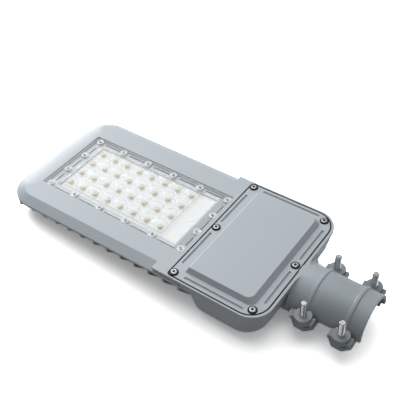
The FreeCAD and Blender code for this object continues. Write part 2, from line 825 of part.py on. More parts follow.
# Driver cover: flat flange with a raised panel, its seal, rings and screws
cover_base = "Dimensions.face_rise - Dimensions.cover_thickness"
cover_x_high = "-(Dimensions.socket_depth + Dimensions.end_land + Dimensions.seal_gap)"
cover_x_low = "-(Dimensions.socket_depth + Dimensions.box_length + Dimensions.cover_reach)"
panel_x_low = cover_x_low + " + Dimensions.panel_front_margin"
panel_x_high = cover_x_high + " - Dimensions.panel_end_margin"
panel_half = "Dimensions.cover_half_width - Dimensions.panel_side_margin"


def panel_sketch(body, name, offset, inset, end_inset):
    """The panel's outline, pulled in by one amount, and by another at the clamp's side."""
    sketch = new_sketch(body, name, offset)
    half = f"({panel_half} - ({inset}))"
    draw_rounded(sketch, f"{panel_x_low} + {inset}", f"{panel_x_high} - ({end_inset})", f"-{half}", half,
                 "Dimensions.panel_front_corner", "Dimensions.panel_corner")
    return sketch


def screw_openings(sketch, places):
    """Eight-sided openings round the cover's screws."""
    radius = "(Dimensions.cover_screw_radius + Dimensions.hole_clearance)"
    for x, y in places:
        draw_even(sketch, f"{x:.4f}", f"{y:.4f}", radius, 8)


def build_driver_cover():
    body = new_body("driver_cover")
    flange = new_sketch(body, "CoverOutline", cover_base)
    half = "Dimensions.cover_half_width"
    draw_rounded(flange, cover_x_low, cover_x_high, f"-{half}", half, "Dimensions.cover_front_corner",
                 "Dimensions.cover_corner")
    add_pad(body, flange, "Dimensions.cover_thickness")
    top = "Dimensions.face_rise + Dimensions.panel_height"
    wall = "Dimensions.panel_wall"
    slope = "Dimensions.panel_slope"
    end_slope = "Dimensions.panel_end_slope"
    foot = panel_sketch(body, "PanelFoot", "Dimensions.face_rise", "0", "0")
    crown = panel_sketch(body, "PanelCrown", top, slope, end_slope)
    add_loft(body, "PartDesign::AdditiveLoft", [foot, crown])
    hollow_foot = panel_sketch(body, "HollowFoot", cover_base, wall, wall)
    hollow_crown = panel_sketch(body, "HollowCrown", f"{top} - {wall}", f"{slope} + {wall}",
                                f"{end_slope} + {wall}")
    add_loft(body, "PartDesign::SubtractiveLoft", [hollow_foot, hollow_crown])
    holes = new_sketch(body, "CoverHoles", "Dimensions.face_rise")
    screw_openings(holes, cover_screws)
    add_pocket(body, holes, "Dimensions.cover_thickness")
    cut_cover_grooves(body)


def cut_cover_grooves(body):
    """Six shallow grooves in the flange: one along each side and two at each end."""
    grooves = new_sketch(body, "CoverGrooves", "Dimensions.face_rise")
    wide = "Dimensions.groove_width"
    near = "Dimensions.groove_clearance"
    start = f"({cover_x_low}) + Dimensions.side_groove_start"
    side = "(Dimensions.cover_half_width - Dimensions.groove_side_inset)"
    front = f"({cover_x_low}) + Dimensions.screw_margin - {wide} / 2"
    end = f"({cover_x_high}) - Dimensions.rear_screw_margin - {wide} / 2"
    for x_low, long_x, y_low, y_high in (
        (start, "Dimensions.side_groove_length", f"-{side} - {wide} / 2", f"-{side} + {wide} / 2"),
        (start, "Dimensions.side_groove_length", f"{side} - {wide} / 2", f"{side} + {wide} / 2"),
        (front, wide, near, f"{near} + Dimensions.front_groove_length"),
        (front, wide, f"-{near} - Dimensions.front_groove_length", f"-{near}"),
        (end, wide, near, f"{near} + Dimensions.end_groove_length"),
        (end, wide, f"-{near} - Dimensions.end_groove_length", f"-{near}"),
    ):
        draw_cut_corners(grooves, x_low, f"{x_low} + {long_x}", y_low, y_high, "Dimensions.groove_cut")
    add_pocket(body, grooves, "Dimensions.groove_depth")


build_driver_cover()


def draw_rebate(sketch):
    gap = "Dimensions.seal_gap"
    half = f"(Dimensions.cover_half_width + {gap})"
    draw_rounded(sketch, f"{cover_x_low} - {gap}", f"{cover_x_high} + {gap}", f"-{half}", half,
                 f"Dimensions.cover_front_corner + {gap}", f"Dimensions.cover_corner + {gap}")


def build_cover_gasket():
    """A flat seal under the flange, turned up round the cover's edge."""
    body = new_body("cover_gasket")
    thick = "Dimensions.seal_thickness"
    seat = f"Dimensions.face_rise - Dimensions.cover_thickness - {thick}"
    gap = "Dimensions.seal_gap"
    narrow = "Dimensions.seat_width"
    base = new_sketch(body, "SealBase", seat)
    draw_rebate(base)
    half = f"(Dimensions.cover_half_width + {gap} - {narrow})"
    open_low = f"{cover_x_low} - {gap} + Dimensions.front_seat_width"
    open_high = f"{cover_x_high} + {gap} - {narrow}"
    draw_rounded(base, open_low, open_high, f"-{half}", half, "Dimensions.cover_front_corner",
                 f"Dimensions.cover_corner + {gap} - {narrow}")
    add_pad(body, base, thick)
    edge = new_sketch(body, "SealEdge", seat)
    draw_rebate(edge)
    draw_rounded(edge, cover_x_low, cover_x_high, "-Dimensions.cover_half_width",
                 "Dimensions.cover_half_width", "Dimensions.cover_front_corner", "Dimensions.cover_corner")
    add_pad(body, edge, f"{thick} + Dimensions.cover_thickness - Dimensions.seal_drop")
    holes = new_sketch(body, "SealHoles", f"{seat} + {thick}")
    screw_openings(holes, bridge_screws)
    add_pocket(body, holes, thick)


build_cover_gasket()


def ring(x, y, level, height, outer, inner):
    """A flat many-sided ring."""
    outside = prism(x, y, level, level + height, outer, 12)
    return outside.cut(prism(x, y, level, level + height, inner, 8))


def socket_screw(x, y):
    """A button-head screw with a hexagon socket."""
    seat = face_z + mm("ring_thickness")
    radius = mm("cover_head_radius")
    height = mm("cover_head_height")
    shank = prism(x, y, seat - mm("cover_screw_length"), seat, mm("cover_screw_radius"), 8)
    outlines = [
        flat_polygon(x, y, seat, radius, 12),
        flat_polygon(x, y, seat + height / 2, radius, 12),
        flat_polygon(x, y, seat + height, mm("cover_head_crown"), 12),
    ]
    socket = prism(x, y, seat + height / 3, seat + height, mm("socket_share") * radius, 6)
    return shank.fuse(banded(outlines)).cut(socket)


ring_hole = mm("cover_screw_radius") + mm("hole_clearance") / 2
rings = [ring(x, y, face_z, mm("ring_thickness"), mm("ring_radius"), ring_hole) for x, y in cover_screws]
new_feature("cover_screw_rings", Part.makeCompound(rings))
new_feature("cover_screws", Part.makeCompound([socket_screw(x, y) for x, y in cover_screws]))


# Pieces inside the driver box
def build_power_supply():
    """A sealed metal case with two fixing tabs at each end."""
    case = block(power_low, power_high, -power_half, power_half, power_z, power_z + mm("power_height"))
    upright = [edge for edge in case.Edges if edge.BoundBox.ZLength > mm("power_corner")]
    case = case.makeFillet(mm("power_corner"), upright)
    tabs = []
    half = mm("stand_width") / 2 - mm("tab_inset")
    for x in (power_low + mm("stand_inset"), power_high - mm("stand_inset")):
        reach = power_half + mm("tab_length")
        tabs.append(block(x - half, x + half, -reach, reach, power_z, power_z + mm("tab_thickness")))
    return case.multiFuse(tabs)


def build_terminal_block():
    """A moulded block on a base with a foot at each end, and one slot for each way."""
    half = mm("terminal_width") / 2
    reach = mm("terminal_length") / 2
    top = terminal_z + mm("terminal_height")
    base = block(terminal_x - half, terminal_x + half, -terminal_half, terminal_half, terminal_z,
                 terminal_z + mm("terminal_base"))
    body = block(terminal_x - half, terminal_x + half, -reach, reach, terminal_z, top)
    ways = int(mm("terminal_ways"))
    slot = mm("terminal_slot")
    slots = []
    for way in range(ways):
        y = (way - (ways - 1) / 2) * mm("terminal_length") / ways
        slots.append(block(terminal_x + half - slot, terminal_x + half, y - slot / 2, y + slot / 2,
                           terminal_z + mm("terminal_height") / 2, top))
    return base.fuse(body).cut(slots)


def lead(points):
    """A plain lead along straight runs, each corner cut by a short slanting run."""
    bend = mm("lead_bend")
    path = [points[0]]
    for before, corner, after in zip(points[:-2], points[1:-1], points[2:]):
        path.append(corner + (before - corner).normalize() * bend)
        path.append(corner + (after - corner).normalize() * bend)
    path.append(points[-1])
    along = (points[1] - points[0]).normalize()
    across = Vector(0, 1, 0)
    section = Part.makePolygon(polygon_points(points[0], across, along.cross(across), mm("lead_radius"), 8))
    return Part.makePolygon(path).makePipeShell([section], True, False, 1)


def build_led_lead():
    """From the light board, through the bridge, then down and into the end of the power supply."""
    inner_x = box_low + mm("box_wall")
    drop_x = (inner_x + power_low) / 2
    low_z = lead_z - mm("lead_drop")
    points = [Vector(sump_x, 0, board_z), Vector(sump_x, 0, lead_z), Vector(drop_x, 0, lead_z),
              Vector(drop_x, 0, low_z), Vector(power_low, 0, low_z)]
    return lead(points)


def build_input_lead():
    """An arch from the terminal block to the power supply."""
    start_x = power_high - (power_high - power_low) / 4
    top = terminal_z + mm("terminal_height") + mm("lead_rise")
    end_at_x = terminal_x - mm("terminal_width") / 4
    points = [Vector(start_x, 0, power_z + mm("power_height")), Vector(start_x, 0, top)]
    points += [Vector(end_at_x, 0, top), Vector(end_at_x, 0, terminal_z + mm("terminal_height"))]
    return lead(points)


def build_inlet_grommet():
    """A rubber bush through the stop wall, with a flange inside and a bead sunk in the socket's end."""
    outer = mm("inlet_radius")
    inside = end_x - mm("stop_thickness")
    bead = mm("grommet_bead")
    mouth = end_x - mm("grommet_recess")
    runs = [
        (inside - mm("grommet_flange"), inside, outer + mm("grommet_lip")),
        (inside, mouth - bead, outer),
        (mouth - bead, mouth, outer + bead),
    ]
    forms = [lying_prism(low, high, radius) for low, high, radius in runs]
    way = lying_prism(inside - mm("grommet_flange"), mouth, outer - mm("grommet_wall"))
    return forms[0].multiFuse(forms[1:]).cut(way)


def lying_prism(x_low, x_high, radius):
    """A sixteen-sided column along the pole axis."""
    points = polygon_points(Vector(x_low, 0, 0), Vector(0, 1, 0), Vector(0, 0, 1), radius, 16)
    return Part.Face(Part.makePolygon(points)).extrude(Vector(x_high - x_low, 0, 0))


new_feature("power_supply", build_power_supply())
new_feature("terminal_block", build_terminal_block())
new_feature("led_lead", build_led_lead())
new_feature("input_lead", build_input_lead())
new_feature("inlet_grommet", build_inlet_grommet())


# Lower straps of the pole clamp, with their bolts and washers
ear_top = "-Dimensions.clamp_gap"
ear_under = "-(Dimensions.clamp_gap + Dimensions.ear_thickness)"


def build_strap(label, station):
    """A strap: a narrow half ring under the pole and a broad thick ear on each side."""
    body = new_body(label)
    ears = new_sketch(body, label + "Ears", ear_under)
    half_width = "Dimensions.ear_width / 2"
    half_saddle = "Dimensions.saddle_width / 2"
    reach = "(Dimensions.bolt_reach + Dimensions.ear_margin)"
    draw_cut_corners(ears, f"-({station}) - {half_width}", f"-({station}) + {half_width}",
                     f"-{reach}", reach, "Dimensions.ear_corner")
    add_pad(body, ears, "Dimensions.ear_thickness")
    outside = new_sketch(body, label + "Outside", f"-({station}) - {half_saddle}", "YZ_Plane")
    draw_circle(outside, "0", "0", "Dimensions.pole_radius + Dimensions.strap_wall")
    add_pad(body, outside, "Dimensions.saddle_width")
    bore = new_sketch(body, label + "Bore", f"-({station}) + {half_width}", "YZ_Plane")
    draw_circle(bore, "0", "0", "Dimensions.pole_radius")
    add_pocket(body, bore, "Dimensions.ear_width")
    crown = f"Dimensions.pole_radius + Dimensions.strap_wall + {OVERCUT}"
    above = new_sketch(body, label + "Above", crown)
    over = f"{half_width} + {OVERCUT}"
    draw_cut_corners(above, f"-({station}) - ({over})", f"-({station}) + ({over})", f"-{reach} - {OVERCUT}",
                     f"{reach} + {OVERCUT}", f"{OVERCUT / 2}")
    add_pocket(body, above, f"{crown} + Dimensions.clamp_gap")
    holes = new_sketch(body, label + "Holes", ear_top)
    for side in ("-Dimensions.bolt_reach", "Dimensions.bolt_reach"):
        draw_even(holes, f"-({station})", side, "(Dimensions.bolt_radius + Dimensions.hole_clearance)", 12)
    add_pocket(body, holes, "Dimensions.ear_thickness")


build_strap("clamp_strap_front", "Dimensions.bolt_first")
build_strap("clamp_strap_rear", "Dimensions.bolt_first + Dimensions.bolt_pitch")

washer_top = -mm("clamp_gap") - mm("ear_thickness")
head_top = washer_top - mm("washer_thickness")


def clamp_bolt(x, y):
    """A hexagon bolt pushed up through strap, gap and boss."""
    corner = mm("bolt_head_flats") / math.sqrt(3)
    head = prism(x, y, head_top - mm("bolt_head_height"), head_top, corner, 6)
    return head.fuse(prism(x, y, head_top, head_top + mm("bolt_length"), mm("bolt_radius"), 12))


washer_hole = mm("bolt_radius") + mm("hole_clearance")
washers = []
for x, y in bolt_places:
    washers.append(ring(x, y, head_top, mm("washer_thickness"), mm("washer_radius"), washer_hole))
new_feature("clamp_bolts", Part.makeCompound([clamp_bolt(x, y) for x, y in bolt_places]))
new_feature("clamp_washers", Part.makeCompound(washers))

doc.recompute()
for item in doc.Objects:
    if "Invalid" in item.State or "Error" in item.State:
        raise RuntimeError(item.Label + " did not build")
for item in doc.Objects:
    if item.TypeId in ("Part::Feature", "PartDesign::Body"):
        shape = item.Shape
        print(item.Label, shape.isValid(), len(shape.Solids), round(shape.Volume / 1000, 2))
        if shape.isNull() or not shape.isValid():
            raise RuntimeError(item.Label + " has no valid shape")
        shape.exportStep("parts/" + item.Label + ".step")
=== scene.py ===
import math

import bmesh
import bpy
from mathutils import Matrix, Vector


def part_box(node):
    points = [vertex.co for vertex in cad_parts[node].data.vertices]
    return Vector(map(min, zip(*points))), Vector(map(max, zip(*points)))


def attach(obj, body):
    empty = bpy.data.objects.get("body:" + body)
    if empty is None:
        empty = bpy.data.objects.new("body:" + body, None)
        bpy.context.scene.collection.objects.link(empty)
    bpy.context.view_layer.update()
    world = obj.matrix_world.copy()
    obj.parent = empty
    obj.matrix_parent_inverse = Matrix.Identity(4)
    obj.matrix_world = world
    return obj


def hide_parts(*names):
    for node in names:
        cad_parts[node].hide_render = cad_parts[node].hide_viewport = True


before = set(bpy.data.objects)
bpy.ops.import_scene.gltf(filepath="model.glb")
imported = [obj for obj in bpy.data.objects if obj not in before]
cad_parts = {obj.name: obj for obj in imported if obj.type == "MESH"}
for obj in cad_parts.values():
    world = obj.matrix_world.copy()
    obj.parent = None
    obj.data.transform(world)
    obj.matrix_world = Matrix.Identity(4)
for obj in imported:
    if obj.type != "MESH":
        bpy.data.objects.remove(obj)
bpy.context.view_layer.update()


# Studio: a plain white floor. The lamp lies on its back on the rear clamp strap and on the tips of its
# front fins, so the floor leans a little in the lamp's own frame. It is matt and keeps the lamp's shadow.
# All lengths in this file are in metres.
def tone(red, green, blue):
    """A colour by its display values, 0 to 255, turned into the linear colour that a shader takes."""
    linear = []
    for level in (red, green, blue):
        share = level / 255
        linear.append(share / 12.92 if share <= 0.04045 else ((share + 0.055) / 1.055) ** 2.4)
    return (*linear, 1.0)


class Signal:
    """An output of one shader node, so that the maths of a finish reads as plain expressions."""

    def __init__(self, finish, socket):
        self.finish = finish
        self.socket = socket

    def maths(self, operation, first, second):
        return self.finish.node("ShaderNodeMath", {"operation": operation}, {0: first, 1: second})

    def __add__(self, other):
        return self.maths("ADD", self, other)

    def __sub__(self, other):
        return self.maths("SUBTRACT", self, other)

    def __mul__(self, other):
        return self.maths("MULTIPLY", self, other)

    def __rsub__(self, other):
        return self.maths("SUBTRACT", other, self)

    __radd__ = __add__
    __rmul__ = __mul__


class Finish:
    """The nodes of one material, or of the room, grown one by one."""

    def __init__(self, name, kind="materials", end="ShaderNodeOutputMaterial"):
        self.owner = getattr(bpy.data, kind).new(name)
        self.owner.use_nodes = True
        self.tree = self.owner.node_tree
        self.tree.nodes.clear()
        self.end = self.tree.nodes.new(end)

    def node(self, kind, settings=None, sockets=None, output=0):
        """Adds one node: its settings first, then a value or a signal for each socket named."""
        made = self.tree.nodes.new(kind)
        for name, value in (settings or {}).items():
            setattr(made, name, value)
        for name, value in (sockets or {}).items():
            if isinstance(value, Signal):
                self.tree.links.new(value.socket, made.inputs[name])
            else:
                made.inputs[name].default_value = value
        return Signal(self, made.outputs[output])

    def place(self):
        """The point on the surface, in the lamp's own frame."""
        return self.node("ShaderNodeTexCoord", output="Object")

    def axis(self, letter, point=None):
        """One coordinate of a point, or of the place on the surface where no point is given."""
        return self.node("ShaderNodeSeparateXYZ", None, {0: point or self.place()}, output=letter)

    def attribute(self, name):
        """A number that the mesh carries."""
        return self.node("ShaderNodeAttribute", {"attribute_name": name}, output="Fac")

    def clouds(self, size, detail=2.0, stretch=(1.0, 1.0, 1.0)):
        """Soft noise with patches of about this size in metres."""
        at = self.node("ShaderNodeVectorMath", {"operation": "MULTIPLY"}, {0: self.place(), 1: stretch})
        return self.node("ShaderNodeTexNoise", None, {"Vector": at, "Scale": 1.0 / size, "Detail": detail})

    def between(self, share, low, high):
        """Maps a 0 to 1 signal onto a range."""
        return share * (high - low) + low

    def step(self, signal, start, end):
        """0 up to the start mark, 1 from the end mark on, smooth between. The start may be the higher."""
        return self.node("ShaderNodeMapRange", {"interpolation_type": "SMOOTHSTEP"},
                         {"Value": signal, "From Min": start, "From Max": end})

    def blend(self, share, first, second):
        """Mixes two colours."""
        return self.node("ShaderNodeMix", {"data_type": "RGBA"}, {0: share, 6: first, 7: second}, output=2)

    def bump(self, height, strength, distance, base=None):
        """A relief of this height signal, on the plain normal or on a base normal."""
        sockets = {"Height": height, "Strength": strength, "Distance": distance}
        if base is not None:
            sockets["Normal"] = base
        return self.node("ShaderNodeBump", None, sockets)

    def shader(self, sockets):
        """The shader of an opaque surface, with a value or a signal for each socket named."""
        return self.node("ShaderNodeBsdfPrincipled", None, sockets)

    def done(self, surface):
        """Ends the tree with its surface and hands over what owns it."""
        self.tree.links.new(surface.socket, self.end.inputs["Surface"])
        return self.owner


WHITE = tone(255, 255, 255)
FLOOR_REACH = 3.0
STRAP_BASE = Vector((-0.0757, 0.0, -0.0337))
FLOOR_SLOPE = 0.0674
CAMERA_LIFT = 1.2
FLOOR_GLOW = 0.12


def paper_white():
    """Matt white sheet, whiter to the camera, to glossy faces and through clear ones than to other light.

    The lift and the glow bring lit floor up to white in the picture, and leave the shadow on it.
    """
    finish = Finish("floor_white")
    grain = finish.clouds(0.004)
    by_camera, by_gloss, through_clear = [
        finish.node("ShaderNodeLightPath", output=name)
        for name in ("Is Camera Ray", "Is Glossy Ray", "Is Transmission Ray")]
    seen = by_camera + by_gloss + through_clear
    pale = finish.blend(finish.clouds(0.3), tone(136, 136, 137), tone(144, 144, 144))
    sheet = finish.shader({
        "Base Color": finish.blend(seen, pale, WHITE),
        "Roughness": finish.between(grain, 0.88, 0.96),
        "Specular IOR Level": 0.0,
    })
    lift = finish.node("ShaderNodeBsdfDiffuse", None, {"Color": by_camera * CAMERA_LIFT})
    glow = finish.node("ShaderNodeEmission", None, {"Color": WHITE, "Strength": seen * FLOOR_GLOW})
    lifted = finish.node("ShaderNodeAddShader", None, {0: sheet, 1: lift})
    return finish.done(finish.node("ShaderNodeAddShader", None, {0: lifted, 1: glow}))


def placed(name, data):
    """A new object of this name, put in the scene."""
    made = bpy.data.objects.new(name, data)
    bpy.context.scene.collection.objects.link(made)
    return made


floor_corners = []
for side_x, side_y in ((-1, -1), (1, -1), (1, 1), (-1, 1)):
    away = side_x * FLOOR_REACH
    floor_corners.append((STRAP_BASE.x + away, side_y * FLOOR_REACH, STRAP_BASE.z - FLOOR_SLOPE * away))
floor_mesh = bpy.data.meshes.new("floor")
floor_mesh.from_pydata(floor_corners, [], [(0, 1, 2, 3)])
floor_mesh.materials.append(paper_white())
placed("floor", floor_mesh)


# Camera: the photograph's own view, solved from corner points of the lamp. It stands above the lamp's near
# side and off its pole end, and is rolled a little, with a lens of about 62 mm on a 36 mm frame.
CAMERA_PLACE = (0.1415, -0.4718, 0.6501)
TURN = math.radians(38.857)
RISE = math.radians(43.815)
ROLL = math.radians(-4.238)
FRAME_WIDTH = 36.0
FOCAL_LENGTH = 61.71
VIEW_DEPTH = 20.0

camera_data = bpy.data.cameras.new("camera")
camera_data.sensor_width = FRAME_WIDTH
camera_data.lens = FOCAL_LENGTH
camera_data.clip_end = VIEW_DEPTH
camera = placed("camera", camera_data)
back = Vector((math.sin(TURN) * math.cos(RISE), -math.cos(TURN) * math.cos(RISE), math.sin(RISE)))
level_right = Vector((math.cos(TURN), math.sin(TURN), 0.0))
level_up = back.cross(level_right)
right = math.cos(ROLL) * level_right + math.sin(ROLL) * level_up
camera_axes = Matrix((right, back.cross(right), back)).transposed().to_4x4()
camera.matrix_world = Matrix.Translation(CAMERA_PLACE) @ camera_axes
bpy.context.scene.camera = camera


# Lights: a soft sky light from above, a broad panel and a low one off the lamp's front end, and a pale room
# that is darker towards the camera
SKY_SIDE = (-0.12, 0.1, 0.98)
SKY_POWER = 0.96
SKY_SPREAD = math.radians(50.0)
PANEL_AIM = (-0.4, 0.0, 0.0)
ROOM_PALE_SIDE = (-0.22, 0.5, 0.84)
ROOM_DARKEST = 0.09
ROOM_PALEST = 0.48


def light(name, kind, place, target, power):
    """One light of the studio, aimed from its place at a target."""
    data = bpy.data.lights.new(name, kind)
    data.energy = power
    aim = Vector(target) - Vector(place)
    turned = aim.to_track_quat("-Z", "Y").to_matrix().to_4x4()
    placed(name, data).matrix_world = Matrix.Translation(place) @ turned
    return data


light("sky_light", "SUN", SKY_SIDE, (0.0, 0.0, 0.0), SKY_POWER).angle = SKY_SPREAD
for panel_name, panel_place, panel_size, panel_power in (
    ("end_panel", (-1.25, 0.6, 1.25), 1.4, 13.0),
    ("low_panel", (-1.85, 0.75, 0.22), 0.8, 20.0),
):
    panel = light(panel_name, "AREA", panel_place, PANEL_AIM, panel_power)
    panel.shape = "DISK"
    panel.size = panel_size

room = Finish("room", "worlds", "ShaderNodeOutputWorld")
room_way = room.node("ShaderNodeTexCoord", output="Generated")
room_side = room.node("ShaderNodeVectorMath", {"operation": "DOT_PRODUCT"},
                      {0: room_way, 1: ROOM_PALE_SIDE}, output="Value")
room_shade = room.between(room.step(room_side, -0.5, 1.0), ROOM_DARKEST, ROOM_PALEST)
room_seen = room.node("ShaderNodeLightPath", output="Is Camera Ray")
room_strength = room_shade + room_seen * (1.0 - room_shade)
room_air = room.node("ShaderNodeBackground", None, {"Color": WHITE, "Strength": room_strength})
bpy.context.scene.world = room.done(room_air)
bpy.context.scene.view_settings.view_transform = "Standard"


# Housing: one aluminium die casting of light head, driver box and upper half clamp, shot-blasted and
# powder coated light grey. Its form is the frame's own, merged so that its rounds shade smoothly.
MERGE_REACH = 0.000002
FLAT_WITHIN = math.radians(0.2)
EDGE_RADIUS = 0.0007
# Each pair is where a change of the finish starts and where it is complete.
# Painted shade at the clamp end, stronger lower down and on the ears
CLAMP_SHADE_ALONG = (-0.1, -0.04)
CLAMP_SHADE_HEIGHT = (0.036, 0.006)
EAR_REACH_SQUARED = (0.034**2, 0.039**2)
# Painted shade low on the light head's skirt and fins
SKIRT_SHADE_HEIGHT = (0.019, 0.014)
SKIRT_SHADE_END = (-0.236, -0.226)
# A painted highlight along the raised panel's edge next to the light head
PANEL_HIGHLIGHT_ALONG = (-0.2003, -0.2013)
PANEL_HIGHLIGHT_HEIGHT = (0.0392, 0.0398)


def new_piece(name, mesh, material, replaced=()):
    """A finished piece that rides with the lamp and stands for the nodes it replaces."""
    piece = placed(name, mesh)
    mesh.materials.clear()
    mesh.materials.append(material)
    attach(piece, "root")
    if replaced:
        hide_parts(*replaced)


def smoothed(mesh, sharp_above=32.0):
    """Shades a mesh smooth, apart from its edges sharper than an angle in degrees."""
    mesh.shade_smooth()
    mesh.set_sharp_from_angle(angle=math.radians(sharp_above))
    return mesh


def merged_copy(node, name, sharp_above=32.0):
    """The node's mesh with its loose triangles joined, ready for smooth shading."""
    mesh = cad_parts[node].data.copy()
    mesh.name = name
    work = bmesh.new()
    work.from_mesh(mesh)
    bmesh.ops.remove_doubles(work, verts=work.verts, dist=MERGE_REACH)
    bmesh.ops.dissolve_limit(work, angle_limit=FLAT_WITHIN, verts=work.verts, edges=work.edges)
    bmesh.ops.triangulate(work, faces=[face for face in work.faces if len(face.verts) > 4])
    work.to_mesh(mesh)
    work.free()
    if "custom_normal" in mesh.attributes:
        mesh.attributes.remove(mesh.attributes["custom_normal"])
    return smoothed(mesh, sharp_above)


def powder_coat(name, groove_floor=None):
    """Light grey polyester powder: faint clouds, fine orange peel, and a painted highlight along its edges.
    """
    finish = Finish(name)
    drift = finish.clouds(0.11, 3.0)
    patches = finish.clouds(0.018, 3.0)
    peel = finish.clouds(0.0011, 1.0)
    grit = finish.clouds(0.00035, 1.0)
    along, across, height = [finish.axis(letter) for letter in "XYZ"]

    rounded = finish.node("ShaderNodeBevel", {"samples": 4}, {"Radius": EDGE_RADIUS})
    face_normal = finish.node("ShaderNodeNewGeometry", output="Normal")
    turned = finish.node("ShaderNodeVectorMath", {"operation": "DOT_PRODUCT"},
                         {0: rounded, 1: face_normal}, output="Value")
    edge = finish.step(1.0 - turned, 0.005, 0.12)

    body = finish.blend(drift, tone(166, 174, 180), tone(173, 181, 187))
    body = finish.blend(finish.step(patches, 0.55, 0.8) * 0.35, body, tone(180, 187, 192))
    body = finish.blend(finish.step(grit, 0.66, 0.74) * 0.3, body, tone(150, 158, 164))

    # Painted shade: the clamp end is darker, most of all low down and on its ears, in patches.
    ears = finish.step(across * across, *EAR_REACH_SQUARED)
    low_down = finish.between(finish.step(height, *CLAMP_SHADE_HEIGHT), 0.65, 0.85)
    clamp_shade = finish.step(along, *CLAMP_SHADE_ALONG) * (low_down + ears * 0.35)
    body = finish.blend(clamp_shade * finish.between(patches, 0.65, 0.95), body, tone(116, 124, 129))
    # Painted highlight: the edges are paler, less so in the clamp end's painted shade.
    colour = finish.blend(edge * (1.0 - clamp_shade * 0.5) * 0.6, body, tone(196, 203, 207))

    # Painted shade darkens the grooves' floors and the light head's skirt. A painted highlight lies along
    # the raised panel's edge next to the light head.
    # Painted shade on the grooves' floors.
    if groove_floor is not None:
        groove_shade = finish.step(height, groove_floor + 0.0005, groove_floor + 0.0001)
        colour = finish.blend(groove_shade, colour, tone(136, 143, 149))
    # Painted shade: the light head's skirt and fins are darker low down.
    skirt_shade = finish.step(height, *SKIRT_SHADE_HEIGHT) * (1.0 - finish.step(along, *SKIRT_SHADE_END))
    colour = finish.blend(skirt_shade * 0.7, colour, tone(108, 115, 120))
    # Painted highlight: a pale line along the raised panel's edge next to the light head.
    panel_highlight = finish.step(along, *PANEL_HIGHLIGHT_ALONG) * finish.step(height, *PANEL_HIGHLIGHT_HEIGHT)
    colour = finish.blend(panel_highlight * 0.5, colour, tone(214, 220, 224))
    return finish.done(finish.shader({
        "Base Color": colour,
        "Roughness": finish.between(patches, 0.4, 0.54) + edge * 0.04,
        "IOR": 1.48,
        "Normal": finish.bump(peel * 0.7 + grit * 0.3, 0.25, 0.00012, rounded),
    }))


grey_paint = powder_coat("powder_coat")
casting = merged_copy("housing", "cast_housing", 25.0)
new_piece("cast_housing", casting, grey_paint, ["housing"])


# Light board: a white aluminium-core circuit board that lies in the tray under the window. Solder mask
# covers its copper, so the tracks show only as faint lines, and a painted yellow glow lies round each chip.
# Where its lead comes in, a dab of white coating covers the joint.
def centres(node):
    """The middle of the base of each separate solid of a node."""
    work = bmesh.new()
    work.from_mesh(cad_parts[node].data)
    bmesh.ops.remove_doubles(work, verts=work.verts, dist=MERGE_REACH)
    places = []
    waiting = set(work.verts)
    while waiting:
        group = [waiting.pop()]
        for vert in group:
            for edge in vert.link_edges:
                other = edge.other_vert(vert)
                if other in waiting:
                    waiting.remove(other)
                    group.append(other)
        xs = [vert.co.x for vert in group]
        ys = [vert.co.y for vert in group]
        base = min(vert.co.z for vert in group)
        places.append(Vector(((min(xs) + max(xs)) / 2, (min(ys) + max(ys)) / 2, base)))
    work.free()
    return sorted(places, key=lambda place: (round(place.x, 4), round(place.y, 4)))


chip_places = centres("led_chips")
CHIP_ROWS = 8
CHIPS_ACROSS = 4
LED_PITCH = 0.02225
BLANK_STRIP = (CHIP_ROWS - 0.5) * LED_PITCH
CHIP_GLOW_RADIUS, CHIP_GLOW_FULL = 0.0062, 0.0026
TRACK_HALF, TRACK_FADE = 0.0004, 0.0009


def white_board():
    """White solder mask with settled dust, faint tracks under it and a painted yellow glow round each chip.
    """
    finish = Finish("white_board")
    to_first_chip = (-chip_places[0].x, 0.0, 0.0)
    from_chip = finish.node("ShaderNodeVectorMath", None, {0: finish.place(), 1: to_first_chip})
    along = finish.axis("X", from_chip)
    across = finish.axis("Y", from_chip)
    half_pitch = LED_PITCH / 2
    fold = {"operation": "PINGPONG"}
    chip_x = finish.node("ShaderNodeMath", fold, {0: along, 1: half_pitch})
    chip_y = finish.node("ShaderNodeMath", fold, {0: across + half_pitch, 1: half_pitch})
    square = chip_x * chip_x + chip_y * chip_y
    off = finish.node("ShaderNodeMath", {"operation": "POWER"}, {0: square, 1: 0.5})
    # Painted yellow glow round each chip, which stops past the last row.
    chip_end = finish.step(along, BLANK_STRIP, BLANK_STRIP + 0.001)
    chip_glow = finish.step(off, CHIP_GLOW_RADIUS, CHIP_GLOW_FULL) * (1.0 - chip_end)
    track = 1.0 - finish.step(chip_x, TRACK_HALF, TRACK_FADE)
    dust = finish.clouds(0.02, 3.0)
    colour = finish.blend(dust * 0.4, tone(253, 253, 253), tone(247, 248, 249))
    colour = finish.blend(track * 0.4, colour, tone(232, 234, 237))
    colour = finish.blend(chip_glow * 0.45, colour, tone(244, 236, 200))
    return finish.done(finish.shader({
        "Base Color": colour,
        "Roughness": finish.between(dust, 0.35, 0.5),
        "Normal": finish.bump(track + finish.clouds(0.0008) * 0.2, 0.3, 0.00006),
    }))


board_paint = white_board()
new_piece("light_board", merged_copy("led_board", "light_board"), board_paint, ["led_board"])


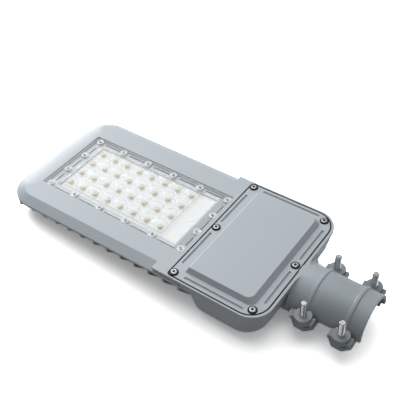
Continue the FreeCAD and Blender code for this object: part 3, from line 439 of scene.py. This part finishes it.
def turned_form(work, profile, sides, centre=(0.0, 0.0, 0.0), start=0.0):
    """Turns a profile of radius and height about an upright axis, and gives back the profile's rings.

    A radius of nought closes the form.
    """
    rings = []
    for radius, height in profile:
        level = centre[2] + height
        if radius == 0.0:
            rings.append([work.verts.new((centre[0], centre[1], level))])
            continue
        ring = []
        for step in range(sides):
            angle = start + 2 * math.pi * step / sides
            x, y = centre[0] + radius * math.cos(angle), centre[1] + radius * math.sin(angle)
            ring.append(work.verts.new((x, y, level)))
        rings.append(ring)
    for lower, upper in zip(rings, rings[1:]):
        for step in range(sides):
            after = (step + 1) % sides
            if len(lower) == 1:
                work.faces.new((lower[0], upper[after], upper[step]))
            elif len(upper) == 1:
                work.faces.new((lower[step], lower[after], upper[0]))
            else:
                work.faces.new((lower[step], lower[after], upper[after], upper[step]))
    return rings


def mesh_of(work, name, sharp_above=32.0):
    """Ends a piece of mesh work: normals outwards, shaded smooth."""
    bmesh.ops.recalc_face_normals(work, faces=work.faces)
    mesh = bpy.data.meshes.new(name)
    work.to_mesh(mesh)
    work.free()
    return smoothed(mesh, sharp_above)


def turned_mesh(name, profile, sides, sharp_above=32.0, centre=(0.0, 0.0, 0.0)):
    """A mesh of one turned form."""
    work = bmesh.new()
    turned_form(work, profile, sides, centre)
    return mesh_of(work, name, sharp_above)


lead_low, lead_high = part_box("led_lead")
board_low, board_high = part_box("led_board")
lead_radius = (lead_high.y - lead_low.y) / 2
dab_profile = [(0.0, 0.0), (0.0036, 0.0), (0.0034, 0.0004), (0.002, 0.0007), (0.0, 0.0008)]
dab = turned_mesh("lead_dab", dab_profile, 24, centre=(lead_low.x + lead_radius, 0.0, board_high.z))
new_piece("lead_dab", dab, board_paint)


# Light chips: 32 white ceramic packages, each with a yellow phosphor drop of silicone, soldered in eight
# rows of four. Both parts are set in place by a node tree that stamps one piece on every chip's place.
def stamp_tree():
    """A node tree that sets one piece on every point, turned at random within a range."""
    tree = bpy.data.node_groups.new("stamp_on_places", "GeometryNodeTree")
    sockets = (("Places", "INPUT", "NodeSocketGeometry"), ("Piece", "INPUT", "NodeSocketObject"),
               ("Most turn", "INPUT", "NodeSocketFloat"), ("Size", "INPUT", "NodeSocketFloat"),
               ("Seed", "INPUT", "NodeSocketInt"), ("Material", "INPUT", "NodeSocketMaterial"),
               ("Pieces", "OUTPUT", "NodeSocketGeometry"))
    for name, side, kind in sockets:
        tree.interface.new_socket(name, in_out=side, socket_type=kind)

    def add(kind, links=None, values=None):
        made = tree.nodes.new(kind)
        for name, value in (values or {}).items():
            made.inputs[name].default_value = value
        for name, source in (links or {}).items():
            tree.links.new(source, made.inputs[name])
        return made

    given = add("NodeGroupInput").outputs
    piece = add("GeometryNodeObjectInfo", {"Object": given["Piece"]}).outputs["Geometry"]
    chance = add("FunctionNodeRandomValue", {"Seed": given["Seed"], 3: given["Most turn"]}, {2: 0.0})
    spin = add("ShaderNodeCombineXYZ", {"Z": chance.outputs[1]})
    stamps = add("GeometryNodeInstanceOnPoints", {
        "Points": given["Places"], "Instance": piece, "Rotation": spin.outputs[0], "Scale": given["Size"]})
    real = add("GeometryNodeRealizeInstances", {0: stamps.outputs[0]})
    coated = add("GeometryNodeSetMaterial", {"Geometry": real.outputs[0], "Material": given["Material"]})
    add("NodeGroupOutput", {"Pieces": coated.outputs[0]})
    return tree


stamping = stamp_tree()


def stamped(name, pattern_mesh, places, material, most_turn=0.0, seed=1):
    """One mesh of the pattern piece set on every place."""
    pattern = placed(name + "_pattern", pattern_mesh)
    spots = bpy.data.meshes.new(name + "_places")
    spots.from_pydata([tuple(place) for place in places], [], [])
    carrier = placed(name + "_carrier", spots)
    modifier = carrier.modifiers.new("stamp", "NODES")
    modifier.node_group = stamping
    given = {"Piece": pattern, "Most turn": most_turn, "Size": 1.0, "Seed": seed, "Material": material}
    for item in stamping.interface.items_tree:
        if item.in_out == "INPUT" and item.name in given:
            modifier[item.identifier] = given[item.name]
    bpy.context.view_layer.update()
    finished = carrier.evaluated_get(bpy.context.evaluated_depsgraph_get())
    mesh = bpy.data.meshes.new_from_object(finished)
    mesh.name = name
    carrier.modifiers.remove(modifier)
    for item in (pattern, carrier):
        bpy.data.objects.remove(item)
    return smoothed(mesh)


CHIP_HALF = 0.0025
CHIP_HEIGHT = 0.0007
BEVEL_START = 0.0006
BEVEL_HALF = 0.00245
WINDOW_HALF = 0.0024
WINDOW_FLOOR = 0.0006
DROP_FOOT = 0.0005


def square_form(work, profile):
    """A square block through half widths and heights, closed at both ends."""
    corners = [(half_width * math.sqrt(2), height) for half_width, height in profile]
    turned_form(work, [(0.0, profile[0][1]), *corners, (0.0, profile[-1][1])], 4, start=math.pi / 4)


def speckled(name, grain_size, light, dark, smooth, rough, strength, depth):
    """A fine grain between two tones, as fired ceramic, phosphor in silicone and moulded nylon have."""
    finish = Finish(name)
    speck = finish.clouds(grain_size)
    return finish.done(finish.shader({
        "Base Color": finish.blend(speck, tone(*light), tone(*dark)),
        "Roughness": finish.between(speck, smooth, rough),
        "Normal": finish.bump(speck, strength, depth),
    }))


chip_ceramic = speckled("chip_ceramic", 0.0006, (252, 251, 246), (244, 243, 236), 0.45, 0.6, 0.2, 0.00004)
chip_phosphor = speckled("chip_phosphor", 0.0005, (255, 251, 228), (252, 245, 216), 0.3, 0.45, 0.3,
                         0.00005)
package = bmesh.new()
square_form(package, [(CHIP_HALF, 0.0), (CHIP_HALF, BEVEL_START), (BEVEL_HALF, CHIP_HEIGHT),
                      (WINDOW_HALF, CHIP_HEIGHT), (WINDOW_HALF, WINDOW_FLOOR)])
packages = stamped("chip_packages", mesh_of(package, "package"), chip_places, chip_ceramic)
new_piece("chip_packages", packages, chip_ceramic, ["led_chips"])
drop_profile = [(0.0, DROP_FOOT), (WINDOW_HALF, DROP_FOOT), (WINDOW_HALF, 0.0008), (0.0021, 0.0011),
                (0.0014, 0.0013), (0.0, 0.0014)]
drops = stamped("chip_windows", turned_mesh("window", drop_profile, 20), chip_places, chip_phosphor)
new_piece("chip_windows", drops, chip_phosphor)


# Clear optic: one injection-moulded sheet of clear polycarbonate with a screw flange, a raised field and a
# smooth dome over every chip, and under each dome a round hollow for the chip. It is held on its seal by
# sixteen screws through round lugs.
lens_low, lens_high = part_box("lens_plate")
FLANGE_BASE = lens_low.z
FLANGE_TOP = FLANGE_BASE + 0.003
FIELD_TOP = FLANGE_TOP + 0.004
LIP_ROOM = 0.0005
SHEET_BEVEL = 0.0003
RIM_WIDTH = 0.0013
RIM_FOOT = 0.0018
RIM_DROP = 0.0005
FIELD_SLOPE = 0.003
FIELD_CHAMFER = 0.0007
CHAMFER_LEVEL = FIELD_TOP - 0.0006
DOME_RADIUS = 0.0094
DOME_HEIGHT = 0.0036
DOME_FOOT = -0.0002
DOME_RINGS = 10
CAVITY_LIFT = 0.0003

chip_xs = sorted({round(place.x, 5) for place in chip_places})
field_low = chip_xs[0] - LED_PITCH / 2
field_high = chip_xs[-1] + LED_PITCH / 2
field_half = CHIPS_ACROSS / 2 * LED_PITCH


def clear_plastic(name, haze, shade, edge, turned=0.6, painted_rim_share=0.0, through=tone(251, 252, 252)):
    """Clear polycarbonate: light goes through it, and its skin shows more where it turns away.

    A mesh that carries the number "rim" shows its skin there too, by the painted rim share, as a painted
    line.
    """
    finish = Finish(name)
    ripple = finish.clouds(0.006, 2.0)
    facing = finish.node("ShaderNodeLayerWeight", None, {"Blend": 0.35}, output="Facing")
    body = finish.blend(ripple, shade, tone(250, 251, 252))
    skin = finish.shader({
        "Base Color": finish.blend(finish.step(facing, 0.3, 0.75), body, edge),
        "Roughness": finish.between(ripple, 0.06, 0.14),
        "IOR": 1.58,
        "Coat Weight": 0.3,
        "Normal": finish.bump(ripple, 0.15, 0.0002),
    })
    clear = finish.node("ShaderNodeBsdfTransparent", None, {"Color": through})
    share = finish.step(facing, 0.15, 0.95) * turned + haze + ripple * 0.05
    if painted_rim_share:
        share = share + finish.step(finish.attribute("rim"), 0.7, 1.0) * painted_rim_share
    return finish.done(finish.node("ShaderNodeMixShader", None, {0: share, 1: clear, 2: skin}))


def mark(mesh, name, domain, items, share_of):
    """Writes a number on every point or face of a mesh, for its finish to read."""
    layer = mesh.attributes.new(name, "FLOAT", domain)
    for item in items:
        layer.data[item.index].value = share_of(item)
    return mesh


def frame_outline(work, x_low, x_high, half, corner, level, steps=4, low_corner=None):
    """A ring of vertices round a rectangle with round corners, which may be others at the low X end."""
    low = corner if low_corner is None else low_corner
    corners = ((x_high - corner, half - corner, corner, 0.0), (x_low + low, half - low, low, 0.5),
               (x_low + low, low - half, low, 1.0), (x_high - corner, corner - half, corner, 1.5))
    ring = []
    for centre_x, centre_y, radius, start in corners:
        for step in range(steps + 1):
            angle = math.pi * (start + 0.5 * step / steps)
            x, y = centre_x + radius * math.cos(angle), centre_y + radius * math.sin(angle)
            ring.append(work.verts.new((x, y, level)))
    return ring


def joined(work, rings):
    """Closes the bands between rings of the same length that follow one another."""
    for lower, upper in zip(rings, rings[1:]):
        for step in range(len(lower)):
            after = (step + 1) % len(lower)
            work.faces.new((lower[step], lower[after], upper[after], upper[step]))


# The sheet's rings go up its edge and in over its raised rim, then up the field. Each has its distance in
# from the sheet's edge, or out from the field, then its corner radius and its level.
optic = bmesh.new()
outlines = []
for inset, corner, level in (
    (0.0, 0.002, FLANGE_BASE), (0.0, 0.002, FLANGE_TOP - SHEET_BEVEL), (SHEET_BEVEL, 0.0018, FLANGE_TOP),
    (RIM_WIDTH, 0.0016, FLANGE_TOP), (RIM_FOOT, 0.0014, FLANGE_TOP - RIM_DROP),
):
    edge_in = LIP_ROOM + inset
    outlines.append(frame_outline(optic, lens_low.x + edge_in, lens_high.x - edge_in, lens_high.y - edge_in,
                                  corner, level))
for outset, corner, level in (
    (FIELD_SLOPE, 0.0022, FLANGE_TOP - RIM_DROP), (FIELD_CHAMFER, 0.0018, CHAMFER_LEVEL),
    (0.0, 0.0016, FIELD_TOP),
):
    outlines.append(frame_outline(optic, field_low - outset, field_high + outset, field_half + outset,
                                  corner, level))
optic.faces.new(list(reversed(outlines[0])))
joined(optic, outlines)
optic.faces.new(outlines[-1])
optic_mesh = mesh_of(optic, "clear_optic")
mark(optic_mesh, "rim", "POINT", optic_mesh.vertices,
     lambda vertex: 1.0 if abs(vertex.co.z - CHAMFER_LEVEL) < 0.00001 else 0.0)
# Painted highlight: the sheet's skin shows strongly at the field's top edge, a pale line along it.
clear_sheet = clear_plastic("clear_sheet", 0.1, tone(246, 248, 250), tone(220, 225, 229), painted_rim_share=0.9)
new_piece("clear_optic", optic_mesh, clear_sheet, ["lens_plate"])

sphere_radius = (DOME_RADIUS**2 + DOME_HEIGHT**2) / (2 * DOME_HEIGHT)
dome_arc = math.asin(DOME_RADIUS / sphere_radius)
dome_profile = [(DOME_RADIUS, DOME_FOOT)]
for step in range(DOME_RINGS):
    angle = dome_arc * (1 - step / DOME_RINGS)
    sunk = sphere_radius * (1 - math.cos(angle))
    dome_profile.append((sphere_radius * math.sin(angle), DOME_HEIGHT - sunk))
dome_profile.append((0.0, DOME_HEIGHT))
dome_mesh = turned_mesh("dome", dome_profile, 32, 60.0)
mark(dome_mesh, "rim", "POINT", dome_mesh.vertices,
     lambda vertex: math.hypot(vertex.co.x, vertex.co.y) / DOME_RADIUS)
# Painted shade: the domes' skin grows towards their feet, a grey outline round each dome.
clear_dome = clear_plastic("clear_dome", 0.02, tone(236, 238, 246), tone(168, 170, 186), 0.28, 0.2)
dome_places = [Vector((place.x, place.y, FIELD_TOP)) for place in chip_places]
domes = stamped("clear_domes", dome_mesh, dome_places, clear_dome)
new_piece("clear_domes", domes, clear_dome)

cavity_profile = [(0.0, 0.0), (0.0044, 0.0), (0.0044, 0.0006), (0.0041, 0.0017), (0.0033, 0.0027),
                  (0.0018, 0.0034), (0.0, 0.0036)]
# Painted: the hollows' pale yellow skin and tint stand in for the chips' yellow seen enlarged by the domes.
clear_cavity = clear_plastic("clear_cavity", 0.12, tone(255, 250, 232), tone(252, 247, 228), 0.06,
                             through=tone(255, 253, 244))
cavity_places = [Vector((place.x, place.y, FLANGE_BASE + CAVITY_LIFT)) for place in chip_places]
cavity_mesh = turned_mesh("cavity", cavity_profile, 24, 50.0)
cavities = stamped("lens_cavities", cavity_mesh, cavity_places, clear_cavity)
new_piece("lens_cavities", cavities, clear_cavity)


# Lens screws: sixteen small steel pan-head screws in round lugs of the clear sheet, six along each side
# and two more at each end
LUG_RADIUS = 0.005
LUG_HEIGHT = 0.0014
LUG_POCKET = 0.0008
LUG_FOOT = -0.0002
LUG_CHAMFER = 0.0003
SCREW_ROW = 0.0507
SCREW_PITCH = 0.0445
SCREWS_ALONG = 6
END_SCREW_SIDE = 0.0169
FIRST_SCREW = lens_low.x + 0.0081
LAST_SCREW = FIRST_SCREW + (SCREWS_ALONG - 1) * SCREW_PITCH

screw_spots = []
for along in range(SCREWS_ALONG):
    for side in (-1, 1):
        screw_spots.append(Vector((FIRST_SCREW + along * SCREW_PITCH, side * SCREW_ROW, FLANGE_TOP)))
for end_x in (FIRST_SCREW, LAST_SCREW):
    for side in (-1, 1):
        screw_spots.append(Vector((end_x, side * END_SCREW_SIDE, FLANGE_TOP)))

lug_profile = [(0.0, LUG_FOOT), (LUG_RADIUS, LUG_FOOT), (LUG_RADIUS, LUG_HEIGHT - LUG_CHAMFER),
               (LUG_RADIUS - LUG_CHAMFER, LUG_HEIGHT), (0.0034, LUG_HEIGHT), (0.0032, LUG_POCKET),
               (0.0, LUG_POCKET)]
clear_lug = clear_plastic("clear_lug", 0.45, tone(250, 251, 252), tone(208, 212, 217))
lugs = stamped("clear_lugs", turned_mesh("lug", lug_profile, 28), screw_spots, clear_lug)
new_piece("clear_lugs", lugs, clear_lug)


def bright_steel(name, shade, scratch, smooth, rough):
    """Zinc-plated steel: fine turning marks, dull patches, and painted near-black shade in marked sockets.
    """
    finish = Finish(name)
    lines = finish.clouds(0.0004, 2.0, (1.0, 1.0, 6.0))
    patches = finish.clouds(0.003, 3.0)
    socket_shade = finish.attribute("socket_shade")
    dull = tone(*[level - 28 for level in shade])
    colour = finish.blend(finish.step(patches, 0.45, 0.75), tone(*shade), dull)
    # Painted shade: marked socket faces are near black, rough and not metallic.
    return finish.done(finish.shader({
        "Base Color": finish.blend(socket_shade, colour, tone(22, 23, 25)),
        "Metallic": 1.0 - socket_shade,
        "Roughness": finish.between(lines, smooth, rough) + socket_shade * 0.3,
        "Normal": finish.bump(lines, scratch, 0.00004),
    }))


HEAD_FOOT = -0.0004
HEAD_ROUND = ((1.0, 0.45), (0.93, 0.8), (0.78, 1.0))
SOCKET_RIM = 1.12
SOCKET_FLOOR = 0.35
SOCKET_CHAMFER = 0.0001
SOCKET_INSIDE = 0.95


def pan_head(radius, height, socket, sides=24):
    """A round screw head with a six-sided socket sunk in it, whose inside is marked for painted shade.

    Its rounding, in shares of radius and height, runs in to a rim a little wider than the socket.
    """
    head = bmesh.new()
    profile = [(0.0, HEAD_FOOT), (radius, HEAD_FOOT)]
    profile += [(wide * radius, high * height) for wide, high in HEAD_ROUND]
    crown = turned_form(head, profile + [(socket * SOCKET_RIM, height)], sides)[-1]
    per_side = sides // 6
    mouth, bottom = [], []
    for step in range(sides):
        corner, part = divmod(step, per_side)
        first, second = math.pi * corner / 3, math.pi * (corner + 1) / 3
        share = part / per_side
        x = socket * ((1 - share) * math.cos(first) + share * math.cos(second))
        y = socket * ((1 - share) * math.sin(first) + share * math.sin(second))
        mouth.append(head.verts.new((x, y, height - SOCKET_CHAMFER)))
        bottom.append(head.verts.new((x, y, SOCKET_FLOOR * height)))
    joined(head, [crown, mouth, bottom])
    head.faces.new(bottom)
    mesh = mesh_of(head, "pan_head")

    def in_socket(face):
        from_axis = math.hypot(face.center.x, face.center.y)
        return 1.0 if max(face.center.z / height, from_axis / socket) < SOCKET_INSIDE else 0.0

    return mark(mesh, "socket_shade", "FACE", mesh.polygons, in_socket)


pale_steel = bright_steel("pale_steel", (190, 192, 195), 0.2, 0.3, 0.45)
pocket_spots = [spot + Vector((0.0, 0.0, LUG_POCKET)) for spot in screw_spots]
lens_head = pan_head(radius=0.0021, height=0.0014, socket=0.0011)
lens_screws = stamped("lens_screws", lens_head, pocket_spots, pale_steel, most_turn=1.0, seed=4)
new_piece("lens_screws", lens_screws, pale_steel)


# Seals: silicone rubber. The clear sheet lies on a pale web with grey ribs, inside a white lip whose top
# slants down inwards; the driver cover's seal is black and turns up round the lid's edge, where it shows
# as a black line.
seal_low, seal_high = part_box("lens_gasket")
LIP_WIDTH = 0.0003
LIP_REACH = 0.0006
LIP_TOP = FLANGE_TOP + 0.0018
LIP_SLANT = 0.0019
WEB_LAP = 0.0008
SHEET_CLEARANCE = 0.0002
RIB_HALF = 0.001
RIB_ROW = 0.0523
RIB_END = 0.0085
RIB_SINK = 0.0005
RIB_RISE = 0.0002
END_RIBS = ((0.025, 0.041), (-0.0095, 0.0095), (-0.041, -0.025))


def rubber_like(name, light, dark, dusty, shaded_end=None):
    """Silicone rubber with settled dust, and painted shade behind the board's end, where nothing shines
    through it.
    """
    finish = Finish(name)
    dust = finish.clouds(0.007, 3.0)
    grain = finish.clouds(0.0004, 2.0)
    colour = finish.blend(finish.step(dust, 0.5, 0.85) * dusty, tone(*dark), tone(*light))
    if shaded_end:
        # Painted shade on the web beyond the board's end.
        behind = finish.step(finish.axis("X"), board_high.x, board_high.x + 0.003)
        colour = finish.blend(behind, colour, tone(*shaded_end))
    return finish.done(finish.shader({
        "Base Color": colour,
        "Roughness": finish.between(grain, 0.55, 0.72),
        "Specular IOR Level": 0.25,
        "Normal": finish.bump(grain, 0.3, 0.00006),
    }))


rubber = rubber_like("black_rubber", (40, 42, 44), (14, 15, 17), 0.5)
pale_rubber = rubber_like("pale_rubber", (226, 231, 234), (214, 219, 222), 1.0, (162, 168, 173))
white_rubber = rubber_like("white_rubber", (248, 250, 251), (240, 243, 245), 1.0)
grey_rubber = rubber_like("grey_rubber", (92, 96, 100), (72, 76, 80), 0.8)


def frame_ring(outer, inner, z_low, z_high, name, inner_drop=0.0):
    """A square-cornered ring between two rectangles, each given by its X range and half width."""
    work = bmesh.new()
    rings = []
    for bounds, level in ((outer, z_low), (outer, z_high), (inner, z_high - inner_drop), (inner, z_low)):
        x_first, x_last, side = bounds
        corners = ((x_last, side), (x_first, side), (x_first, -side), (x_last, -side))
        rings.append([work.verts.new((x, y, level)) for x, y in corners])
    joined(work, rings + rings[:1])
    return mesh_of(work, name)


def rib_box(work, along, across):
    """A low straight rib on top of the seal's web, sunk a little into the clear sheet over it."""
    corners = [(along[0], across[0]), (along[1], across[0]), (along[1], across[1]), (along[0], across[1])]
    under = [work.verts.new((x, y, seal_high.z - RIB_SINK)) for x, y in corners]
    over = [work.verts.new((x, y, seal_high.z + RIB_RISE)) for x, y in corners]
    joined(work, [under, over])
    work.faces.new(over)
    work.faces.new(list(reversed(under)))


lip_outer = (seal_low.x - LIP_REACH, seal_high.x + LIP_REACH, seal_high.y + LIP_REACH)
lip_inner = (seal_low.x + LIP_WIDTH, seal_high.x - LIP_WIDTH, seal_high.y - LIP_WIDTH)
web_inner = (board_low.x + WEB_LAP, board_high.x - WEB_LAP, board_high.y - WEB_LAP)
lip = frame_ring(lip_outer, lip_inner, seal_low.z, LIP_TOP, "lens_seal_lip", LIP_SLANT)
new_piece("lens_seal_lip", lip, white_rubber, ["lens_gasket"])
ribs = bmesh.new()
for step in range(SCREWS_ALONG - 1):
    screw_x = FIRST_SCREW + step * SCREW_PITCH
    for side in (-1, 1):
        rib_box(ribs, (screw_x + RIB_END, screw_x + SCREW_PITCH - RIB_END),
                (side * RIB_ROW - RIB_HALF, side * RIB_ROW + RIB_HALF))
for end_x in (FIRST_SCREW, LAST_SCREW):
    for rib_reach in END_RIBS:
        rib_box(ribs, (end_x - RIB_HALF, end_x + RIB_HALF), rib_reach)
new_piece("lens_seal_ribs", mesh_of(ribs, "lens_seal_ribs"), grey_rubber)
web = frame_ring(lip_inner, web_inner, seal_low.z, seal_high.z - SHEET_CLEARANCE, "lens_seal_web")
new_piece("lens_seal_web", web, pale_rubber)
new_piece("cover_seal", merged_copy("cover_gasket", "cover_seal"), rubber, ["cover_gasket"])

lid_low, lid_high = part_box("driver_cover")
FACE_LEVEL = 0.033
LID_CORNER = 0.025
LID_HEAD_CORNER = 0.003
# The bead over the lid's gap, from ring to ring: distance out from the lid's edge, and level over its face
bead_profile = ((-0.0003, -0.0006), (-0.0003, 0.0001), (0.0002, 0.0003), (0.001, 0.0003),
                (0.0015, 0.0001), (0.0015, -0.0006))
bead = bmesh.new()
bead_rings = []
for outset, level in bead_profile:
    bead_rings.append(frame_outline(
        bead, lid_low.x - outset, lid_high.x + outset, lid_high.y + outset, LID_CORNER + outset,
        FACE_LEVEL + level, steps=8, low_corner=LID_HEAD_CORNER + outset))
joined(bead, bead_rings + bead_rings[:1])
new_piece("cover_seal_edge", mesh_of(bead, "cover_seal_edge"), rubber)


# Driver cover: a die-cast lid with a raised panel and shallow grooves, powder coated with the housing. Six
# socket screws hold it, each on its own black rubber ring.
GROOVE_DEPTH = 0.001
RING_OUTER = 0.0057
RING_INNER = 0.0029
RING_THICK = 0.0008
RING_WALL = 0.7 * RING_THICK
RING_CHAMFER = 0.0003

lid_paint = powder_coat("lid_coat", FACE_LEVEL - GROOVE_DEPTH)
new_piece("driver_lid", merged_copy("driver_cover", "driver_lid"), lid_paint, ["driver_cover"])


def turned_ring(profile, sides, name):
    """A ring round an open hole: its profile turned about the axis and welded where it closes."""
    work = bmesh.new()
    turned_form(work, profile + profile[:1], sides)
    bmesh.ops.remove_doubles(work, verts=work.verts, dist=MERGE_REACH)
    return mesh_of(work, name)


ring_places = centres("cover_screw_rings")
ring_mesh = turned_ring([(RING_INNER, 0.0), (RING_OUTER, 0.0), (RING_OUTER, RING_WALL),
                         (RING_OUTER - RING_CHAMFER, RING_THICK), (RING_INNER, RING_THICK)], 36, "ring")
screw_rings = stamped("screw_rings", ring_mesh, ring_places, rubber)
new_piece("screw_rings", screw_rings, rubber, ["cover_screw_rings"])
screw_steel = bright_steel("screw_steel", (150, 153, 156), 0.2, 0.24, 0.42)
head_places = [place + Vector((0.0, 0.0, RING_THICK)) for place in ring_places]
lid_head = pan_head(radius=0.0041, height=0.0013, socket=0.0019)
lid_screws = stamped("lid_screws", lid_head, head_places, screw_steel, most_turn=1.0, seed=9)
new_piece("lid_screws", lid_screws, screw_steel, ["cover_screws"])


# Lower clamp: two half-ring straps, cast and coated as the housing is. The four bolts draw them up under
# the pole, through an ear at either end of each strap.
for strap in ("clamp_strap_front", "clamp_strap_rear"):
    new_piece("cast_" + strap, merged_copy(strap, "cast_" + strap), grey_paint, [strap])


# Clamp bolts: M8 hexagon bolts, zinc plated, pushed up through strap and boss so that their threads stand
# clear above, on flat steel washers
HEAD_HEIGHT = 0.0053
HEAD_CHAMFER = 0.0009
HEAD_FACE_RADIUS = 0.00572
SHANK_LAP = 0.0002
ACROSS_FLATS = 0.013
SHANK_RADIUS = 0.004
PLAIN_SHANK = 0.012
THREAD_PITCH = 0.00125
THREAD_DEPTH = 0.0004
TIP_LENGTH = 0.0012
TIP_TAPER = 0.0011
BOLT_SIDES = 24


def hexagon_bolt(shank_length):
    """A bolt with a chamfered hexagon head and a rolled thread that runs out at its tip."""
    bolt = bmesh.new()
    corner = ACROSS_FLATS / math.sqrt(3)
    turned_form(bolt, [(0.0, 0.0), (HEAD_FACE_RADIUS, 0.0), (corner, HEAD_CHAMFER), (corner, HEAD_HEIGHT),
                       (SHANK_RADIUS, HEAD_HEIGHT)], 6)
    # The shank is a stack of rings of (radius, height): two plain ones, then four to each turn of thread.
    rings = [[(SHANK_RADIUS, HEAD_HEIGHT - SHANK_LAP)] * BOLT_SIDES,
             [(SHANK_RADIUS, HEAD_HEIGHT + PLAIN_SHANK)] * BOLT_SIDES]
    ring_gap = THREAD_PITCH / 4
    for index in range(1, int((shank_length - PLAIN_SHANK) / ring_gap) + 1):
        height = PLAIN_SHANK + index * ring_gap
        taper = max(0.0, 1.0 - (shank_length - height) / TIP_LENGTH) * TIP_TAPER
        ring = []
        for side in range(BOLT_SIDES):
            phase = (height / THREAD_PITCH - side / BOLT_SIDES) % 1.0
            cut = THREAD_DEPTH * (1.0 - abs(2.0 * phase - 1.0))
            ring.append((SHANK_RADIUS - cut - taper, HEAD_HEIGHT + height))
        rings.append(ring)
    rows = []
    for ring in rings:
        row = []
        for side, (radius, height) in enumerate(ring):
            angle = 2 * math.pi * side / BOLT_SIDES
            row.append(bolt.verts.new((radius * math.cos(angle), radius * math.sin(angle), height)))
        rows.append(row)
    joined(bolt, rows)
    bolt.faces.new(rows[-1])
    bolt.faces.new(list(reversed(rows[0])))
    return mesh_of(bolt, "hexagon_bolt", 40.0)


bolt_steel = bright_steel("bolt_steel", (214, 215, 215), 0.2, 0.14, 0.28)
bolt_low, bolt_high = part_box("clamp_bolts")
bolt_mesh = hexagon_bolt(bolt_high.z - bolt_low.z - HEAD_HEIGHT)
bolts = stamped("hex_bolts", bolt_mesh, centres("clamp_bolts"), bolt_steel)
new_piece("hex_bolts", bolts, bolt_steel, ["clamp_bolts"])

washer_profile = [(0.0045, 0.0), (0.0078, 0.0), (0.008, 0.0002), (0.008, 0.0014), (0.0078, 0.0016),
                  (0.0045, 0.0016)]
washer_mesh = turned_ring(washer_profile, 40, "washer")
washers = stamped("flat_washers", washer_mesh, centres("clamp_washers"), bolt_steel)
new_piece("flat_washers", washers, bolt_steel, ["clamp_washers"])


# Inside the driver box: a sealed power supply in a pressed steel case, a terminal block of grey nylon,
# their leads, and the rubber bush through which the supply cable would come from the pole
def pressed_case():
    """Bare pressed steel, with brush lines across the lamp."""
    finish = Finish("pressed_case")
    brushed = finish.clouds(0.0006, 2.0, (1.0, 0.05, 1.0))
    return finish.done(finish.shader({
        "Base Color": finish.blend(brushed, tone(196, 199, 202), tone(172, 176, 180)),
        "Metallic": 0.9,
        "Roughness": finish.between(brushed, 0.3, 0.45),
        "Normal": finish.bump(brushed, 0.2, 0.00004),
    }))


# The least and the most roughness of these mouldings, then the strength and the depth of their grain
moulded_grain = (0.42, 0.6, 0.25, 0.00005)
terminal_nylon = speckled("terminal_nylon", 0.0006, (214, 214, 208), (198, 198, 192), *moulded_grain)
lead_sleeve = speckled("lead_sleeve", 0.0008, (58, 60, 62), (40, 42, 44), *moulded_grain)
for node, name, material, slot, sharp_above in (
    ("power_supply", "supply_case", pressed_case(), "case_metal", 32.0),
    ("terminal_block", "terminals", terminal_nylon, "block_plastic", 32.0),
    ("led_lead", "board_lead", lead_sleeve, "lead_plastic", 50.0),
    ("input_lead", "supply_lead", lead_sleeve, "lead_plastic", 50.0),
    ("inlet_grommet", "inlet_bush", rubber, "seal_rubber", 32.0),
):
    new_piece(name, merged_copy(node, name, sharp_above), material, [node])
